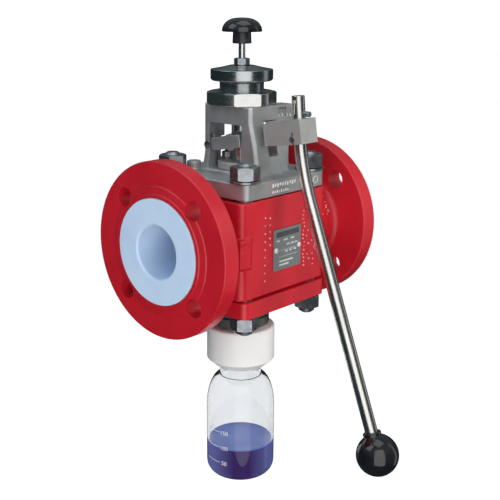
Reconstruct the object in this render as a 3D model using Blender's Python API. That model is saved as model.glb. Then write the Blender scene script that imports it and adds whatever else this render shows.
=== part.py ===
"""A lined bottom-outlet sampling valve with a spring-closing hand lever and a screw-on sample bottle.

The origin is where the pipe axis crosses the stem axis. The pipe runs along X, the hand lever hangs on the
-Y side and Z is up. Every length below is in millimetres, and new_object turns the shapes into metres.
"""

import math

import bmesh
import bpy
from mathutils import Matrix, Vector

for old in list(bpy.data.objects):
    bpy.data.objects.remove(old, do_unlink=True)

GAP = 0.3  # kept between pieces that touch

# Pipe ends: DN 50 flanges, face to face 230.
FACE_X = 115.0
LINER_LIP = 3.7
FLANGE_R = 82.5
FLANGE_X = (93.0, 111.0)
RAISED_R = 60.5
RAISED_LIFT = 3.0
LINER_FACE_R = 49.5
BORE_R = 25.0
LINER_R = 28.0
BOLT_CIRCLE_R = 62.5
BOLT_HOLE_R = 9.0
NECK_R = 45.0
PIPE_STEPS = 40

# Body block, its covers and their studs.
BLOCK = (62.0, 56.5)
BLOCK_Z = (-48.4, 44.0)
OUTLET_LINER_R = 20.0
COVER = (60.5, 59.3)
COVER_Z = (-66.0, -50.0)
BONNET = (57.5, 58.5)
BONNET_Z = (45.6, 61.0)
STUD_PLACES = [(47.0, 47.0), (-47.0, 47.0), (-47.0, -47.0), (47.0, -47.0)]
STUD_R = 8.0
STUD_Z = (-85.0, 79.0)
NUT_R = 24.0 / math.sqrt(3.0)
NUT_HEIGHT = 12.6

# Blank plate on the front of the body, held by two rivets.
PLATE_CENTRE = (2.0, -7.5)
PLATE_HALF = 20.0
RIVET_X = (PLATE_CENTRE[0] - 17.0, PLATE_CENTRE[0] + 17.0)
RIVET_R = 1.5

# Yoke on the bonnet: corner posts under a top plate, the front right one set back and wider.
YOKE_X = 21.5
YOKE_TOP_Z = 124.7
YOKE_PLATE_Z = 107.0
YOKE_FLOOR_Z = 63.2
SIDE_WINDOW_Y = (-18.7, 22.3)
FRONT_SLOT_X = (-2.6, 14.6)
REAR_SLOT_X = (0.8, 15.2)
SHELF_Z = 77.8
GLAND_POCKET_R = 25.5

# Stem, its seat and its packing.
STEM_R = 6.0
SEAT_Z = -26.0
PLUG_R = 13.0
PACKING_R = 13.0
COLLAR_Z = (98.3, 107.7)
COLLAR_R = 9.5
SPRING_PLATE_R = 14.5
CAP_THREAD_R = 21.3
CAP_DISK_R = 29.8
CAP_Z = (110.2, 161.0)
CAP_DISK_Z = (148.3, 157.3)
LOCK_NUT_R = 33.4
LOCK_NUT_FLAT = 30.5
LOCK_NUT_TOP_Z = 137.0
SPRING_R = 11.6
SPRING_WIRE_R = 1.5
SPRING_TURNS = 6
ROD_R = 3.2
KNOB_Z = 204.7

# Rocker and hand lever, which turn together about the pivot.
PIVOT = (0.0, 26.5, 84.6)
PIVOT_R = 4.0
ROCKER_TILT = math.radians(10.4)
ROCKER_X = 21.2
ROCKER_HALF = 6.1
ROCKER_REACH = 43.5
ROCKER_OPENING = ((-8.5, -14.0), (8.5, 11.0))
NECK_X = (-1.8, 8.5)
CAM_CENTRE = (-3.0, 90.0)
CAM_R = 8.0
BLOCK_TILT = math.radians(8.3)
LEVER_BLOCK_X = 12.0
LEVER_BLOCK_START = (-38.6, 100.4)
LEVER_BLOCK_LENGTH = 43.5
LEVER_BLOCK_HALF = 11.2
LEVER_BLOCK_CHAMFER = 4.0
LEVER_R = 6.0
SCREW_R = 3.0
SCREW_PLACE = (-71.8, 98.5)
CROSS_PIN_R = 2.5
CROSS_PIN_Z = 121.5
LEVER_TOP = (-68.7, 137.5)
LEVER_BEND = ((-73.0, 90.0), (-77.0, 64.0), (-86.5, 39.0))
LEVER_FOOT = (-164.4, -167.0)
BALL_CENTRE = (-171.0, -185.0)
BALL_R = 20.0

# Outlet, adapter and sample bottle.
OUTLET_R = 10.0
SPOUT_R = 13.7
UNION_R = 29.5
UNION_Z = (-94.0, -66.3)
ADAPTER_R = 34.4
ADAPTER_Z = (-139.5, -96.5)
BOTTLE_R = 35.0
BOTTLE_BASE_Z = -260.0
BOTTLE_MOUTH_Z = -124.0
BOTTLE_WALL = 2.2
LIQUID_Z = -222.0
BOTTLE_STEPS = 24


def material(name, colour, roughness, metallic=0.0, alpha=1.0):
    made = bpy.data.materials.new(name)
    made.use_nodes = True
    shader = made.node_tree.nodes["Principled BSDF"]
    shader.inputs["Base Color"].default_value = (*colour, 1.0)
    shader.inputs["Roughness"].default_value = roughness
    shader.inputs["Metallic"].default_value = metallic
    shader.inputs["Alpha"].default_value = alpha
    return made


RED_PAINT = material("red_paint", (0.60, 0.02, 0.04), 0.4)
CAST_STEEL = material("cast_steel", (0.45, 0.45, 0.43), 0.45, 0.9)
BRIGHT_STEEL = material("bright_steel", (0.72, 0.72, 0.72), 0.2, 1.0)
LINER_PLASTIC = material("liner_plastic", (0.80, 0.86, 0.92), 0.4)
WHITE_PLASTIC = material("white_plastic", (0.90, 0.89, 0.86), 0.5)
BLACK_PLASTIC = material("black_plastic", (0.01, 0.01, 0.01), 0.15)
PACKING = material("packing", (0.12, 0.12, 0.12), 0.8)
PLATE_METAL = material("plate_metal", (0.50, 0.51, 0.52), 0.4, 0.6)
GLASS = material("glass", (0.90, 0.93, 0.95), 0.03, 0.0, 0.35)
SAMPLE = material("sample", (0.16, 0.14, 0.60), 0.1)


def facing(axis):
    """The rotation that carries a shape made along +Z onto another direction."""
    turns = {
        "+Z": Matrix.Identity(4),
        "+X": Matrix.Rotation(math.pi / 2, 4, "Y"),
        "-X": Matrix.Rotation(-math.pi / 2, 4, "Y"),
        "-Y": Matrix.Rotation(math.pi / 2, 4, "X"),
    }
    return turns[axis]


def turned(profile, steps=24, axis="+Z", centre=(0.0, 0.0, 0.0)):
    """A closed profile of (radius, height) points turned about an axis. Radius 0 closes it to a point."""
    bm = bmesh.new()
    angles = [2 * math.pi * step / steps for step in range(steps)]
    rings = []
    for radius, height in profile:
        if radius == 0:
            rings.append([bm.verts.new((0, 0, height))])
        else:
            ring = [(radius * math.cos(a), radius * math.sin(a), height) for a in angles]
            rings.append([bm.verts.new(point) for point in ring])
    for near, far in zip(rings, rings[1:] + rings[:1]):
        if len(near) == len(far) == 1:
            continue
        for step in range(steps):
            corners = [near[step % len(near)], near[(step + 1) % len(near)]]
            corners += [far[(step + 1) % len(far)], far[step % len(far)]]
            bm.faces.new(list(dict.fromkeys(corners)))
    bm.transform(Matrix.Translation(centre) @ facing(axis))
    return bm


def rod(radius, low, high, steps=12, axis="+Z", centre=(0.0, 0.0, 0.0), chamfer=0.0):
    """A solid round bar with chamfered ends."""
    profile = [(0, low), (radius - chamfer, low)]
    if chamfer:
        profile += [(radius, low + chamfer), (radius, high - chamfer)]
    profile += [(radius - chamfer, high), (0, high)]
    return turned(profile, steps, axis, centre)


def tube(inner, outer, low, high, steps=24, axis="+Z", centre=(0.0, 0.0, 0.0)):
    return turned([(inner, low), (outer, low), (outer, high), (inner, high)], steps, axis, centre)


def hex_nut(circumradius, bore, low, high, centre=(0.0, 0.0, 0.0), turn=0.0):
    """A plain hexagon nut, turned about its own axis."""
    bm = tube(bore, circumradius, low, high, 6, "+Z")
    bmesh.ops.rotate(bm, verts=bm.verts, matrix=Matrix.Rotation(turn, 3, "Z"))
    bmesh.ops.translate(bm, verts=bm.verts, vec=centre)
    return bm


def rectangle(low, high, corner=0.0, arc_steps=1):
    """The outline of a rectangle, with corners rounded in arc_steps facets when corner isn't 0."""
    if corner == 0:
        return [(low[0], low[1]), (high[0], low[1]), (high[0], high[1]), (low[0], high[1])]
    centres = [(high[0] - corner, low[1] + corner), (high[0] - corner, high[1] - corner)]
    centres += [(low[0] + corner, high[1] - corner), (low[0] + corner, low[1] + corner)]
    outline = []
    for quarter, centre in enumerate(centres):
        for step in range(arc_steps + 1):
            angle = math.pi / 2 * (quarter - 1 + step / arc_steps)
            outline.append((centre[0] + corner * math.cos(angle), centre[1] + corner * math.sin(angle)))
    return outline


def lofted(sections):
    """A solid through rings of points that match one to one, capped at both ends."""
    bm = bmesh.new()
    rings = [[bm.verts.new(point) for point in section] for section in sections]
    for near, far in zip(rings, rings[1:]):
        for step in range(len(near)):
            after = (step + 1) % len(near)
            bm.faces.new([near[step], near[after], far[after], far[step]])
    bm.faces.new(rings[0])
    bm.faces.new(rings[-1])
    return bm


def prism(outline, low, high, along="Z"):
    """An outline extruded along an axis: (x, y) points along Z, (y, z) points along X, (x, z) along Y."""
    order = {"Z": lambda u, v, w: (u, v, w), "X": lambda u, v, w: (w, u, v), "Y": lambda u, v, w: (u, w, v)}
    place = order[along]
    return lofted([[place(u, v, level) for u, v in outline] for level in (low, high)])


def box(low, high):
    return prism(rectangle(low[:2], high[:2]), low[2], high[2])


def swept(path, radius, sides, reference):
    """A round bar along a path, its rings turned from one reference direction."""
    sections = []
    for index, point in enumerate(path):
        ahead = path[min(index + 1, len(path) - 1)]
        behind = path[max(index - 1, 0)]
        tangent = (Vector(ahead) - Vector(behind)).normalized()
        across = tangent.cross(Vector(reference)).normalized()
        upward = across.cross(tangent)
        angles = [2 * math.pi * side / sides for side in range(sides)]
        ring = [across * math.cos(a) * radius + upward * math.sin(a) * radius for a in angles]
        sections.append([Vector(point) + offset for offset in ring])
    return lofted(sections)


def new_object(name, bm):
    """Puts a shape into the scene, with its normals outward and its millimetres turned into metres."""
    bmesh.ops.recalc_face_normals(bm, faces=bm.faces)
    bm.transform(Matrix.Scale(0.001, 4))
    mesh = bpy.data.meshes.new(name)
    bm.to_mesh(mesh)
    bm.free()
    made = bpy.data.objects.new(name, mesh)
    bpy.context.scene.collection.objects.link(made)
    return made


def piece(name, bm, finish, parent=None):
    made = new_object(name, bm)
    made.data.materials.append(finish)
    made.data.shade_smooth()
    made.data.set_sharp_from_angle(angle=math.radians(35))
    if parent:
        made.parent = parent
        made.matrix_parent_inverse = parent.matrix_world.inverted()
    return made


def change(target, operation, bm):
    """Adds a Boolean to the target, whose tool stays in the scene as a hidden wire shape."""
    step = len(target.modifiers) + 1
    tool = new_object(f"tool_{target.name}_{step}", bm)
    tool.hide_render = True
    tool.display_type = "WIRE"
    modifier = target.modifiers.new(f"{operation.lower()}_{step}", "BOOLEAN")
    modifier.operation = operation
    modifier.object = tool


def cut(target, bm):
    change(target, "DIFFERENCE", bm)


def join(target, bm):
    change(target, "UNION", bm)


def axis_empty(name, place):
    """An empty on a joint's axis, which the pieces of that moving body are parented to."""
    made = bpy.data.objects.new(name, None)
    made.location = [value * 0.001 for value in place]
    bpy.context.scene.collection.objects.link(made)
    bpy.context.view_layer.update()
    return made


LEVER_AXIS = axis_empty("lever_axis", PIVOT)
STEM_AXIS = axis_empty("stem_axis", (0.0, 0.0, 0.0))
BOTTLE_AXIS = axis_empty("bottle_axis", (0.0, 0.0, BOTTLE_MOUTH_Z))


def body_casting():
    """The red cast body: a square block between two round flanges."""
    inner, face = FLANGE_X
    half = [(NECK_R - 5, BLOCK[0] - 3), (NECK_R, BLOCK[0] - 1), (NECK_R, inner - 6), (NECK_R + 4, inner)]
    half += [(FLANGE_R - 1, inner), (FLANGE_R, inner + 1), (FLANGE_R, face - 1), (FLANGE_R - 1, face)]
    half += [(RAISED_R, face), (LINER_FACE_R + 3, face + RAISED_LIFT)]
    half += [(LINER_FACE_R + GAP, face + RAISED_LIFT), (LINER_FACE_R + GAP, face), (0, face)]
    profile = half + [(radius, -height) for radius, height in reversed(half)]
    casting = piece("body_casting", turned(profile, PIPE_STEPS, "+X"), RED_PAINT)
    outline = rectangle((-BLOCK[0], -BLOCK[1]), BLOCK, 8.0, 3)
    join(casting, prism(outline, *BLOCK_Z))
    cut(casting, rod(LINER_R + GAP, -FACE_X, FACE_X, PIPE_STEPS, "+X"))
    cut(casting, rod(OUTLET_LINER_R + GAP, -70, 70, 24))
    for side in (-1, 1):
        for corner in range(4):
            angle = math.pi / 4 + corner * math.pi / 2
            y, z = BOLT_CIRCLE_R * math.cos(angle), BOLT_CIRCLE_R * math.sin(angle)
            low, high = sorted((side * (inner - 8), side * (face + 8)))
            cut(casting, rod(BOLT_HOLE_R, low, high, 14, "+X", (0, y, z)))
    for x, y in STUD_PLACES:
        cut(casting, rod(STUD_R + GAP, -60, 60, 12, centre=(x, y, 0)))
    for x in RIVET_X:
        cut(casting, rod(RIVET_R + GAP, 50, 60, 8, "-Y", (x, 0, PLATE_CENTRE[1])))


def body_liner():
    """The one-piece plastic lining: pipe bore, both sealing faces, stem stub and outlet stub."""
    lip = FACE_X - LINER_LIP
    half = [(LINER_R, lip), (LINER_FACE_R, lip), (LINER_FACE_R, FACE_X), (0, FACE_X)]
    profile = half + [(radius, -height) for radius, height in reversed(half)]
    liner = piece("body_liner", turned(profile, PIPE_STEPS, "+X"), LINER_PLASTIC)
    join(liner, rod(OUTLET_LINER_R, BLOCK_Z[0], BLOCK_Z[1] - GAP, 24))
    cut(liner, rod(BORE_R, -FACE_X - 5, FACE_X + 5, PIPE_STEPS, "+X"))
    cut(liner, rod(STEM_R + 0.5, 0, 60, 16))
    cut(liner, rod(SPOUT_R + GAP, -60, 0, 24))


def seats_and_gaskets():
    seat_profile = [(PLUG_R - 3.5, SEAT_Z - 6), (SPOUT_R, SEAT_Z - 6), (SPOUT_R, SEAT_Z + 2.5)]
    seat_profile += [(PLUG_R - 0.5, SEAT_Z + 2.5), (PLUG_R - 3.5, SEAT_Z - 0.5)]
    piece("seat_ring", turned(seat_profile), WHITE_PLASTIC)
    cover_gasket = (BLOCK_Z[0] - GAP, COVER_Z[1] + GAP)
    piece("cover_gasket", tube(SPOUT_R + GAP, 34, *reversed(cover_gasket)), WHITE_PLASTIC)
    bonnet_gasket = (BLOCK_Z[1] + GAP, BONNET_Z[0] - GAP)
    piece("bonnet_gasket", tube(STEM_R + 0.5, 34, *bonnet_gasket), WHITE_PLASTIC)
    for index in range(3):
        low = 48.3 + index * 3.3
        ring = tube(STEM_R + GAP, PACKING_R, low, low + 3, 16)
        piece(f"packing_ring_{index + 1}", ring, PACKING)


def bottom_cover():
    outline = rectangle((-COVER[0], -COVER[1]), COVER, 7.0, 3)
    cover = piece("bottom_cover", prism(outline, *COVER_Z), RED_PAINT)
    cut(cover, rod(SPOUT_R + GAP, -80, -40, 24))
    for x, y in STUD_PLACES:
        cut(cover, rod(STUD_R + GAP, -80, -40, 12, centre=(x, y, 0)))


def yoke_section(z, left, right, rear, front, corner):
    points = [(left + corner, front), (right - corner, front), (right, front + corner), (right, rear - corner)]
    points += [(right - corner, rear), (left + corner, rear), (left, rear - corner), (left, front + corner)]
    return [(x, y, z) for x, y in points]


def bonnet():
    """The stainless bonnet flange cast in one with the yoke that carries lever, spring and stem."""
    outline = rectangle((-BONNET[0], -BONNET[1]), BONNET, 8.0, 3)
    casting = piece("bonnet", prism(outline, *BONNET_Z), CAST_STEEL)
    low, high, side = BONNET_Z[1] - 2, YOKE_TOP_Z, YOKE_X
    front = [(low, 2.5, -43.0), (66.0, 1.6, -40.5), (SHELF_Z, 0.5, -38.2), (88.0, 0.1, -36.3)]
    front += [(97.0, 0.0, -33.8), (104.0, 0.0, -32.0), (110.5, 0.0, -30.5), (high, 0.0, -30.5)]
    join(casting, lofted([yoke_section(z, -side - grow, 13.9, 5.0, y, 3.0) for z, grow, y in front]))
    rear = [(low, 2.5, 38.0), (SHELF_Z, 0.5, 33.5), (100.0, 0.0, 30.5), (high, 0.0, 30.5)]
    join(casting, lofted([yoke_section(z, -side - grow, side + grow, y, -12.0, 3.0) for z, grow, y in rear]))
    post = [(low, 27.5, -38.0), (66.0, 29.0, -36.5), (SHELF_Z, 32.0, -34.2), (88.0, 33.7, -32.8)]
    post += [(97.0, 34.8, -31.5), (104.0, 35.0, -30.8), (high - 0.6, 35.0, -30.4)]
    join(casting, lofted([yoke_section(z, 4.0, right, -11.0, y, 2.0) for z, right, y in post]))
    join(casting, box((20.0, -30.2, YOKE_PLATE_Z + 1.0), (42.0, -13.0, high - 0.9)))
    join(casting, rod(7.0, BONNET_Z[1] - 3, 69.0, 12, centre=(-27.0, 38.0, 0.0), chamfer=1.5))
    near, far = SIDE_WINDOW_Y
    cut(casting, box((-60, near, YOKE_FLOOR_Z), (60, far, YOKE_PLATE_Z)))
    cut(casting, box((FRONT_SLOT_X[0], -60, SHELF_Z), (FRONT_SLOT_X[1], -10, YOKE_PLATE_Z + 3.5)))
    cut(casting, box((-10.5, 10, 66), (REAR_SLOT_X[1], 27.5, YOKE_PLATE_Z)))
    cut(casting, box((6.0, 26.8, 90.9), (18.2, 60, 103.5)))
    cut(casting, box((REAR_SLOT_X[0], 10, 70), (REAR_SLOT_X[1], 60, 91)))
    cut(casting, rod(GLAND_POCKET_R, YOKE_FLOOR_Z, SHELF_Z + 1.5, 24))
    cut(casting, rod(CAP_THREAD_R - 3 + GAP, 100, 130, 24))
    cut(casting, rod(PACKING_R + GAP, 48, 70, 16))
    cut(casting, rod(STEM_R + 0.5, 40, 60, 16))
    cut(casting, rod(PIVOT_R + 0.1, -30, 30, 16, "+X", PIVOT))
    cut(casting, box((19, -33, 110.5), (30, -27.5, 121)))
    for x, y in STUD_PLACES:
        cut(casting, rod(STUD_R + GAP, 40, 70, 12, centre=(x, y, 0)))


def studs():
    """Four studs clamp bonnet, body and bottom cover together, with a nut at each end."""
    for index, (x, y) in enumerate(STUD_PLACES, 1):
        place = (x, y, 0)
        turn = math.radians(17 * index)
        piece(f"stud_{index}", rod(STUD_R, *STUD_Z, 12, centre=place, chamfer=1.5), BRIGHT_STEEL)
        washer_z = (BONNET_Z[1] + GAP, BONNET_Z[1] + GAP + 2)
        piece(f"washer_{index}", tube(STUD_R + GAP, 14.5, *washer_z, 12, centre=place), BRIGHT_STEEL)
        top = washer_z[1] + GAP
        upper = hex_nut(NUT_R, STUD_R + 2 * GAP + 0.8, top, top + NUT_HEIGHT, place, turn)
        piece(f"top_nut_{index}", upper, BRIGHT_STEEL)
        base = COVER_Z[0] - GAP
        lower = hex_nut(NUT_R, STUD_R + 2 * GAP + 0.8, base - NUT_HEIGHT, base, place, -turn)
        piece(f"bottom_nut_{index}", lower, BRIGHT_STEEL)


def gland():
    flange_z = (YOKE_FLOOR_Z + GAP, 70.6)
    profile = [(STEM_R + 0.5, 58.2), (PACKING_R, 58.2), (PACKING_R, flange_z[0]), (23.0, flange_z[0])]
    profile += [(23.0, flange_z[1]), (STEM_R + 0.5, flange_z[1])]
    follower = piece("gland_follower", turned(profile, 22), BRIGHT_STEEL)
    for index, y in enumerate((19.0, -19.0), 1):
        place = (0.0, y, 0.0)
        cut(follower, rod(2.8, 55, 80, 8, centre=place))
        piece(f"gland_bolt_{index}", rod(2.5, YOKE_FLOOR_Z + GAP, 78.6, 8, centre=place), BRIGHT_STEEL)
        nut = hex_nut(5.2, 3.1, flange_z[1] + GAP, 77.0, place)
        piece(f"gland_nut_{index}", nut, BRIGHT_STEEL)


def stem():
    """The stem and all that rises with it, from the sealing plug to the knob on top."""
    plug = [(0, SEAT_Z - 8), (PLUG_R - 5, SEAT_Z - 7), (PLUG_R - 4, SEAT_Z - 0.2), (PLUG_R - 0.8, SEAT_Z + 3)]
    plug += [(PLUG_R - 0.8, SEAT_Z + 5), (STEM_R + 3, SEAT_Z + 9), (0, SEAT_Z + 9)]
    piece("plug_head", turned(plug, 20), LINER_PLASTIC, STEM_AXIS)
    shaft = [(0, SEAT_Z + 9.3), (STEM_R, SEAT_Z + 9.3), (STEM_R, 150), (0, 150)]
    piece("stem", turned(shaft, 16), BRIGHT_STEEL, STEM_AXIS)
    piece("stem_collar", tube(STEM_R + GAP, COLLAR_R, *COLLAR_Z, 16), BRIGHT_STEEL, STEM_AXIS)
    washer_z = (COLLAR_Z[1] + GAP, COLLAR_Z[1] + 2.3)
    piece("spring_plate", tube(STEM_R + GAP, SPRING_PLATE_R, *washer_z, 16), BRIGHT_STEEL, STEM_AXIS)
    piece("lift_rod", rod(ROD_R, 150.3, 184, chamfer=0.5), BRIGHT_STEEL, STEM_AXIS)
    nut = hex_nut(7.5, ROD_R + GAP + 0.5, CAP_Z[1] + GAP, 167.5, turn=0.3)
    piece("stop_nut", nut, BRIGHT_STEEL, STEM_AXIS)
    knob = [(ROD_R + GAP, 181), (8.8, 181), (7.6, 186), (8.8, 191.5), (18.4, 192.2), (19, 193.4)]
    knob += [(18.2, 196.5), (15.2, 200.4), (9.5, 203.5), (0, KNOB_Z), (0, 184.3), (ROD_R + GAP, 184.3)]
    piece("mushroom_knob", turned(knob, 20), BLACK_PLASTIC, STEM_AXIS)


def spring_cap():
    """The threaded cap that holds the spring down, its lock nut and the bush that guides the stem."""
    low, high = CAP_Z
    disk = CAP_DISK_Z
    profile = [(15.5, low), (CAP_THREAD_R - 3, low), (CAP_THREAD_R - 3, YOKE_TOP_Z + 0.2)]
    profile += [(CAP_THREAD_R, YOKE_TOP_Z + GAP), (CAP_THREAD_R, disk[0])]
    profile += [(CAP_DISK_R - 0.8, disk[0]), (CAP_DISK_R, disk[0] + 0.8), (CAP_DISK_R, disk[1] - 0.8)]
    profile += [(CAP_DISK_R - 1.2, disk[1]), (12.0, high), (8.3, high), (8.3, 146.0), (15.5, 146.0)]
    piece("spring_cap", turned(profile, 24), BRIGHT_STEEL)
    nut_z = (YOKE_TOP_Z + GAP, LOCK_NUT_TOP_Z)
    lock = [(CAP_THREAD_R + 0.5, nut_z[0]), (LOCK_NUT_R, nut_z[0]), (LOCK_NUT_R, nut_z[1] - 2.5)]
    lock += [(LOCK_NUT_R - 2, nut_z[1]), (CAP_THREAD_R + 0.5, nut_z[1])]
    nut = piece("lock_nut", turned(lock, 30), CAST_STEEL)
    flats = polygon_points(6, LOCK_NUT_FLAT / math.cos(math.pi / 6), math.radians(20))
    keep = prism(flats, nut_z[0] - 5, nut_z[1] + 5)
    change(nut, "INTERSECT", keep)
    piece("rod_bush", tube(STEM_R + GAP, 8.0, 146.3, 149.7, 16), WHITE_PLASTIC)
    spring_path = []
    low_z, high_z = COLLAR_Z[1] + 2.3 + GAP + SPRING_WIRE_R, 146.0 - GAP - SPRING_WIRE_R
    count = SPRING_TURNS * 10
    for step in range(count + 1):
        angle = 2 * math.pi * SPRING_TURNS * step / count
        level = low_z + (high_z - low_z) * step / count
        spring_path.append((SPRING_R * math.cos(angle), SPRING_R * math.sin(angle), level))
    piece("spring", swept(spring_path, SPRING_WIRE_R, 6, (0, 0, 1)), BRIGHT_STEEL)


def polygon_points(sides, radius, turn):
    angles = [turn + 2 * math.pi * side / sides for side in range(sides)]
    return [(radius * math.cos(angle), radius * math.sin(angle)) for angle in angles]


def along_rocker(distance, offset, tilt, start):
    """A (y, z) point that far along a tilted arm from its start, and that far above its centre line."""
    y = start[0] - distance * math.cos(tilt) + offset * math.sin(tilt)
    return (y, start[1] + distance * math.sin(tilt) + offset * math.cos(tilt))


def rocker():
    """The rocker: a wide frame in the yoke that lifts the stem collar, and a block that grips the rod."""
    start, half, reach = PIVOT[1:], ROCKER_HALF, ROCKER_REACH
    corners = [(6.0, 1.5 - half), (8.0, -half), (reach, -half), (reach, half), (8.0, half), (6.0, half - 2.5)]
    frame = [along_rocker(*corner, ROCKER_TILT, start) for corner in corners]
    made = piece("rocker", prism(frame, -ROCKER_X, ROCKER_X, "X"), CAST_STEEL, LEVER_AXIS)
    join(made, rod(CAM_R, 0.2 - ROCKER_X, ROCKER_X - 0.2, 20, "+X", (0, *CAM_CENTRE)))
    eye_r = 5.5
    corners = [(0.0, -eye_r), (12.0, -eye_r), (12.0, eye_r), (0.0, eye_r)]
    arc = [math.radians(30 * step) for step in range(1, 6)]
    corners += [(-eye_r * math.sin(angle), eye_r * math.cos(angle)) for angle in arc]
    tongue = [along_rocker(*corner, ROCKER_TILT, start) for corner in corners]
    join(made, prism(tongue, REAR_SLOT_X[0] + 0.6, REAR_SLOT_X[1] - 0.6, "X"))
    (left, outer), (right, inner) = ROCKER_OPENING
    cut(made, box((left, outer, 60), (right, inner, 120)))
    corners = [(reach - 1.5, -5.8), (70.0, -5.8), (70.0, -1.0), (reach - 1.5, 4.0)]
    neck = [along_rocker(*corner, ROCKER_TILT, start) for corner in corners]
    join(made, prism(neck, *NECK_X, "X"))
    length, high, chamfer = LEVER_BLOCK_LENGTH, LEVER_BLOCK_HALF, LEVER_BLOCK_CHAMFER
    corners = [(0.0, -high), (length, -high), (length, high), (chamfer, high), (0.0, high - chamfer)]
    block = [along_rocker(*corner, BLOCK_TILT, LEVER_BLOCK_START) for corner in corners]
    join(made, prism(block, -LEVER_BLOCK_X, LEVER_BLOCK_X, "X"))
    bore = [(0, *LEVER_TOP), (0, *LEVER_BEND[0])]
    cut(made, swept(bore, LEVER_R + GAP, 12, (1, 0, 0)))
    cut(made, rod(PIVOT_R + 0.1, -30, 30, 16, "+X", PIVOT))
    cut(made, rod(SCREW_R + GAP, 0, 20, 12, "-X", (0, *SCREW_PLACE)))


def along_line(first, second, share):
    return tuple(a + (b - a) * share for a, b in zip(first, second))


def lever_path():
    """The rod's centre line: straight through the block, one smooth bend, then straight to the ball."""
    upper, control, lower = LEVER_BEND
    path = [(0, *LEVER_TOP), (0, *upper)]
    steps = 6
    for step in range(1, steps + 1):
        share = step / steps
        first, second = along_line(upper, control, share), along_line(control, lower, share)
        path.append((0, *along_line(first, second, share)))
    path.append((0, *LEVER_FOOT))
    return path


def lever():
    """The bent hand lever with its ball, its clamping screw, its cross pin and the pivot pin."""
    lever_rod = piece("lever_rod", swept(lever_path(), LEVER_R, 12, (1, 0, 0)), BRIGHT_STEEL, LEVER_AXIS)
    straight = LEVER_TOP[1] - LEVER_BEND[0][1]
    rod_y = along_line(LEVER_TOP, LEVER_BEND[0], (LEVER_TOP[1] - CROSS_PIN_Z) / straight)[0]
    cut(lever_rod, rod(CROSS_PIN_R + 0.15, -20, 20, 8, "-Y", (0, rod_y, CROSS_PIN_Z)))
    cross_pin = rod(CROSS_PIN_R, -6.0, 13.0, 8, "-Y", (0, rod_y, CROSS_PIN_Z), 0.5)
    piece("cross_pin", cross_pin, BRIGHT_STEEL, LEVER_AXIS)
    inner, outer = LEVER_R + 0.5, LEVER_BLOCK_X - 0.6
    profile = [(0, inner), (SCREW_R, inner), (SCREW_R, outer), (1.6, outer), (1.6, 9.0), (0, 9.0)]
    screw = turned(profile, 12, "-X", (0, *SCREW_PLACE))
    piece("set_screw", screw, BRIGHT_STEEL, LEVER_AXIS)
    piece("pivot_pin", rod(PIVOT_R, -20.8, 20.8, 16, "+X", PIVOT, 0.6), BRIGHT_STEEL)
    ball = ball_profile()
    direction = Vector((0, LEVER_FOOT[0] - BALL_CENTRE[0], LEVER_FOOT[1] - BALL_CENTRE[1]))
    bm = turned(ball, 20)
    turn = Vector((0, 0, 1)).rotation_difference(direction).to_matrix().to_4x4()
    bm.transform(Matrix.Translation((0, *BALL_CENTRE)) @ turn)
    piece("ball_knob", bm, BLACK_PLASTIC, LEVER_AXIS)


def ball_profile():
    """A ball with a short collar, bored blind for the end of the rod, which lies along +Z."""
    foot = math.dist(LEVER_FOOT, BALL_CENTRE)
    neck = 9.0
    outline = []
    steps = 9
    for step in range(steps + 1):
        angle = -math.pi / 2 + (math.pi / 2 + math.acos(neck / BALL_R)) * step / steps
        outline.append((BALL_R * math.cos(angle) if step else 0, BALL_R * math.sin(angle)))
    top = outline[-1][1] + 2.0
    return outline + [(neck, top), (LEVER_R + GAP, top), (LEVER_R + GAP, foot - GAP), (0, foot - GAP)]


def name_plate():
    """A blank plate held by two rivets on the front of the body."""
    face = BLOCK[1] + GAP
    x, z = PLATE_CENTRE
    outline = rectangle((x - PLATE_HALF, z - PLATE_HALF), (x + PLATE_HALF, z + PLATE_HALF), 1.5, 1)
    plate = piece("name_plate", prism(outline, -face - 1.0, -face, "Y"), PLATE_METAL)
    for index, rivet_x in enumerate(RIVET_X, 1):
        cut(plate, rod(RIVET_R + GAP, 50, 60, 8, "-Y", (rivet_x, 0, z)))
        head = face + 1.0 + GAP
        profile = [(0, 51), (RIVET_R, 51), (RIVET_R, head), (2.6, head), (1.6, head + 0.9), (0, head + 0.9)]
        piece(f"rivet_{index}", turned(profile, 8, "-Y", (rivet_x, 0, z)), BRIGHT_STEEL)


def outlet():
    """The outlet spout with its round union collar, the adapter that takes the bottle and their seal."""
    low, high = UNION_Z
    spout_low = -118.0
    profile = [(OUTLET_R, spout_low), (SPOUT_R, spout_low), (SPOUT_R, low), (UNION_R - 1, low)]
    profile += [(UNION_R, low + 1), (UNION_R, high), (SPOUT_R, high), (SPOUT_R, SEAT_Z - 6 - GAP)]
    profile += [(OUTLET_R, SEAT_Z - 6 - GAP)]
    piece("outlet_spout", turned(profile), BRIGHT_STEEL)
    base, top = ADAPTER_Z
    socket_r = 22.5 + GAP
    shape = [(SPOUT_R + GAP, top), (ADAPTER_R - 1.5, top), (ADAPTER_R, top - 1.5), (ADAPTER_R, base + 7)]
    shape += [(ADAPTER_R - 9, base), (socket_r, base), (socket_r, -119.5), (SPOUT_R + GAP, -119.5)]
    piece("bottle_adapter", turned(shape), WHITE_PLASTIC)
    piece("bottle_seal", tube(14.5, 22.0, -123.4, -120.0), WHITE_PLASTIC)


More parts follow.
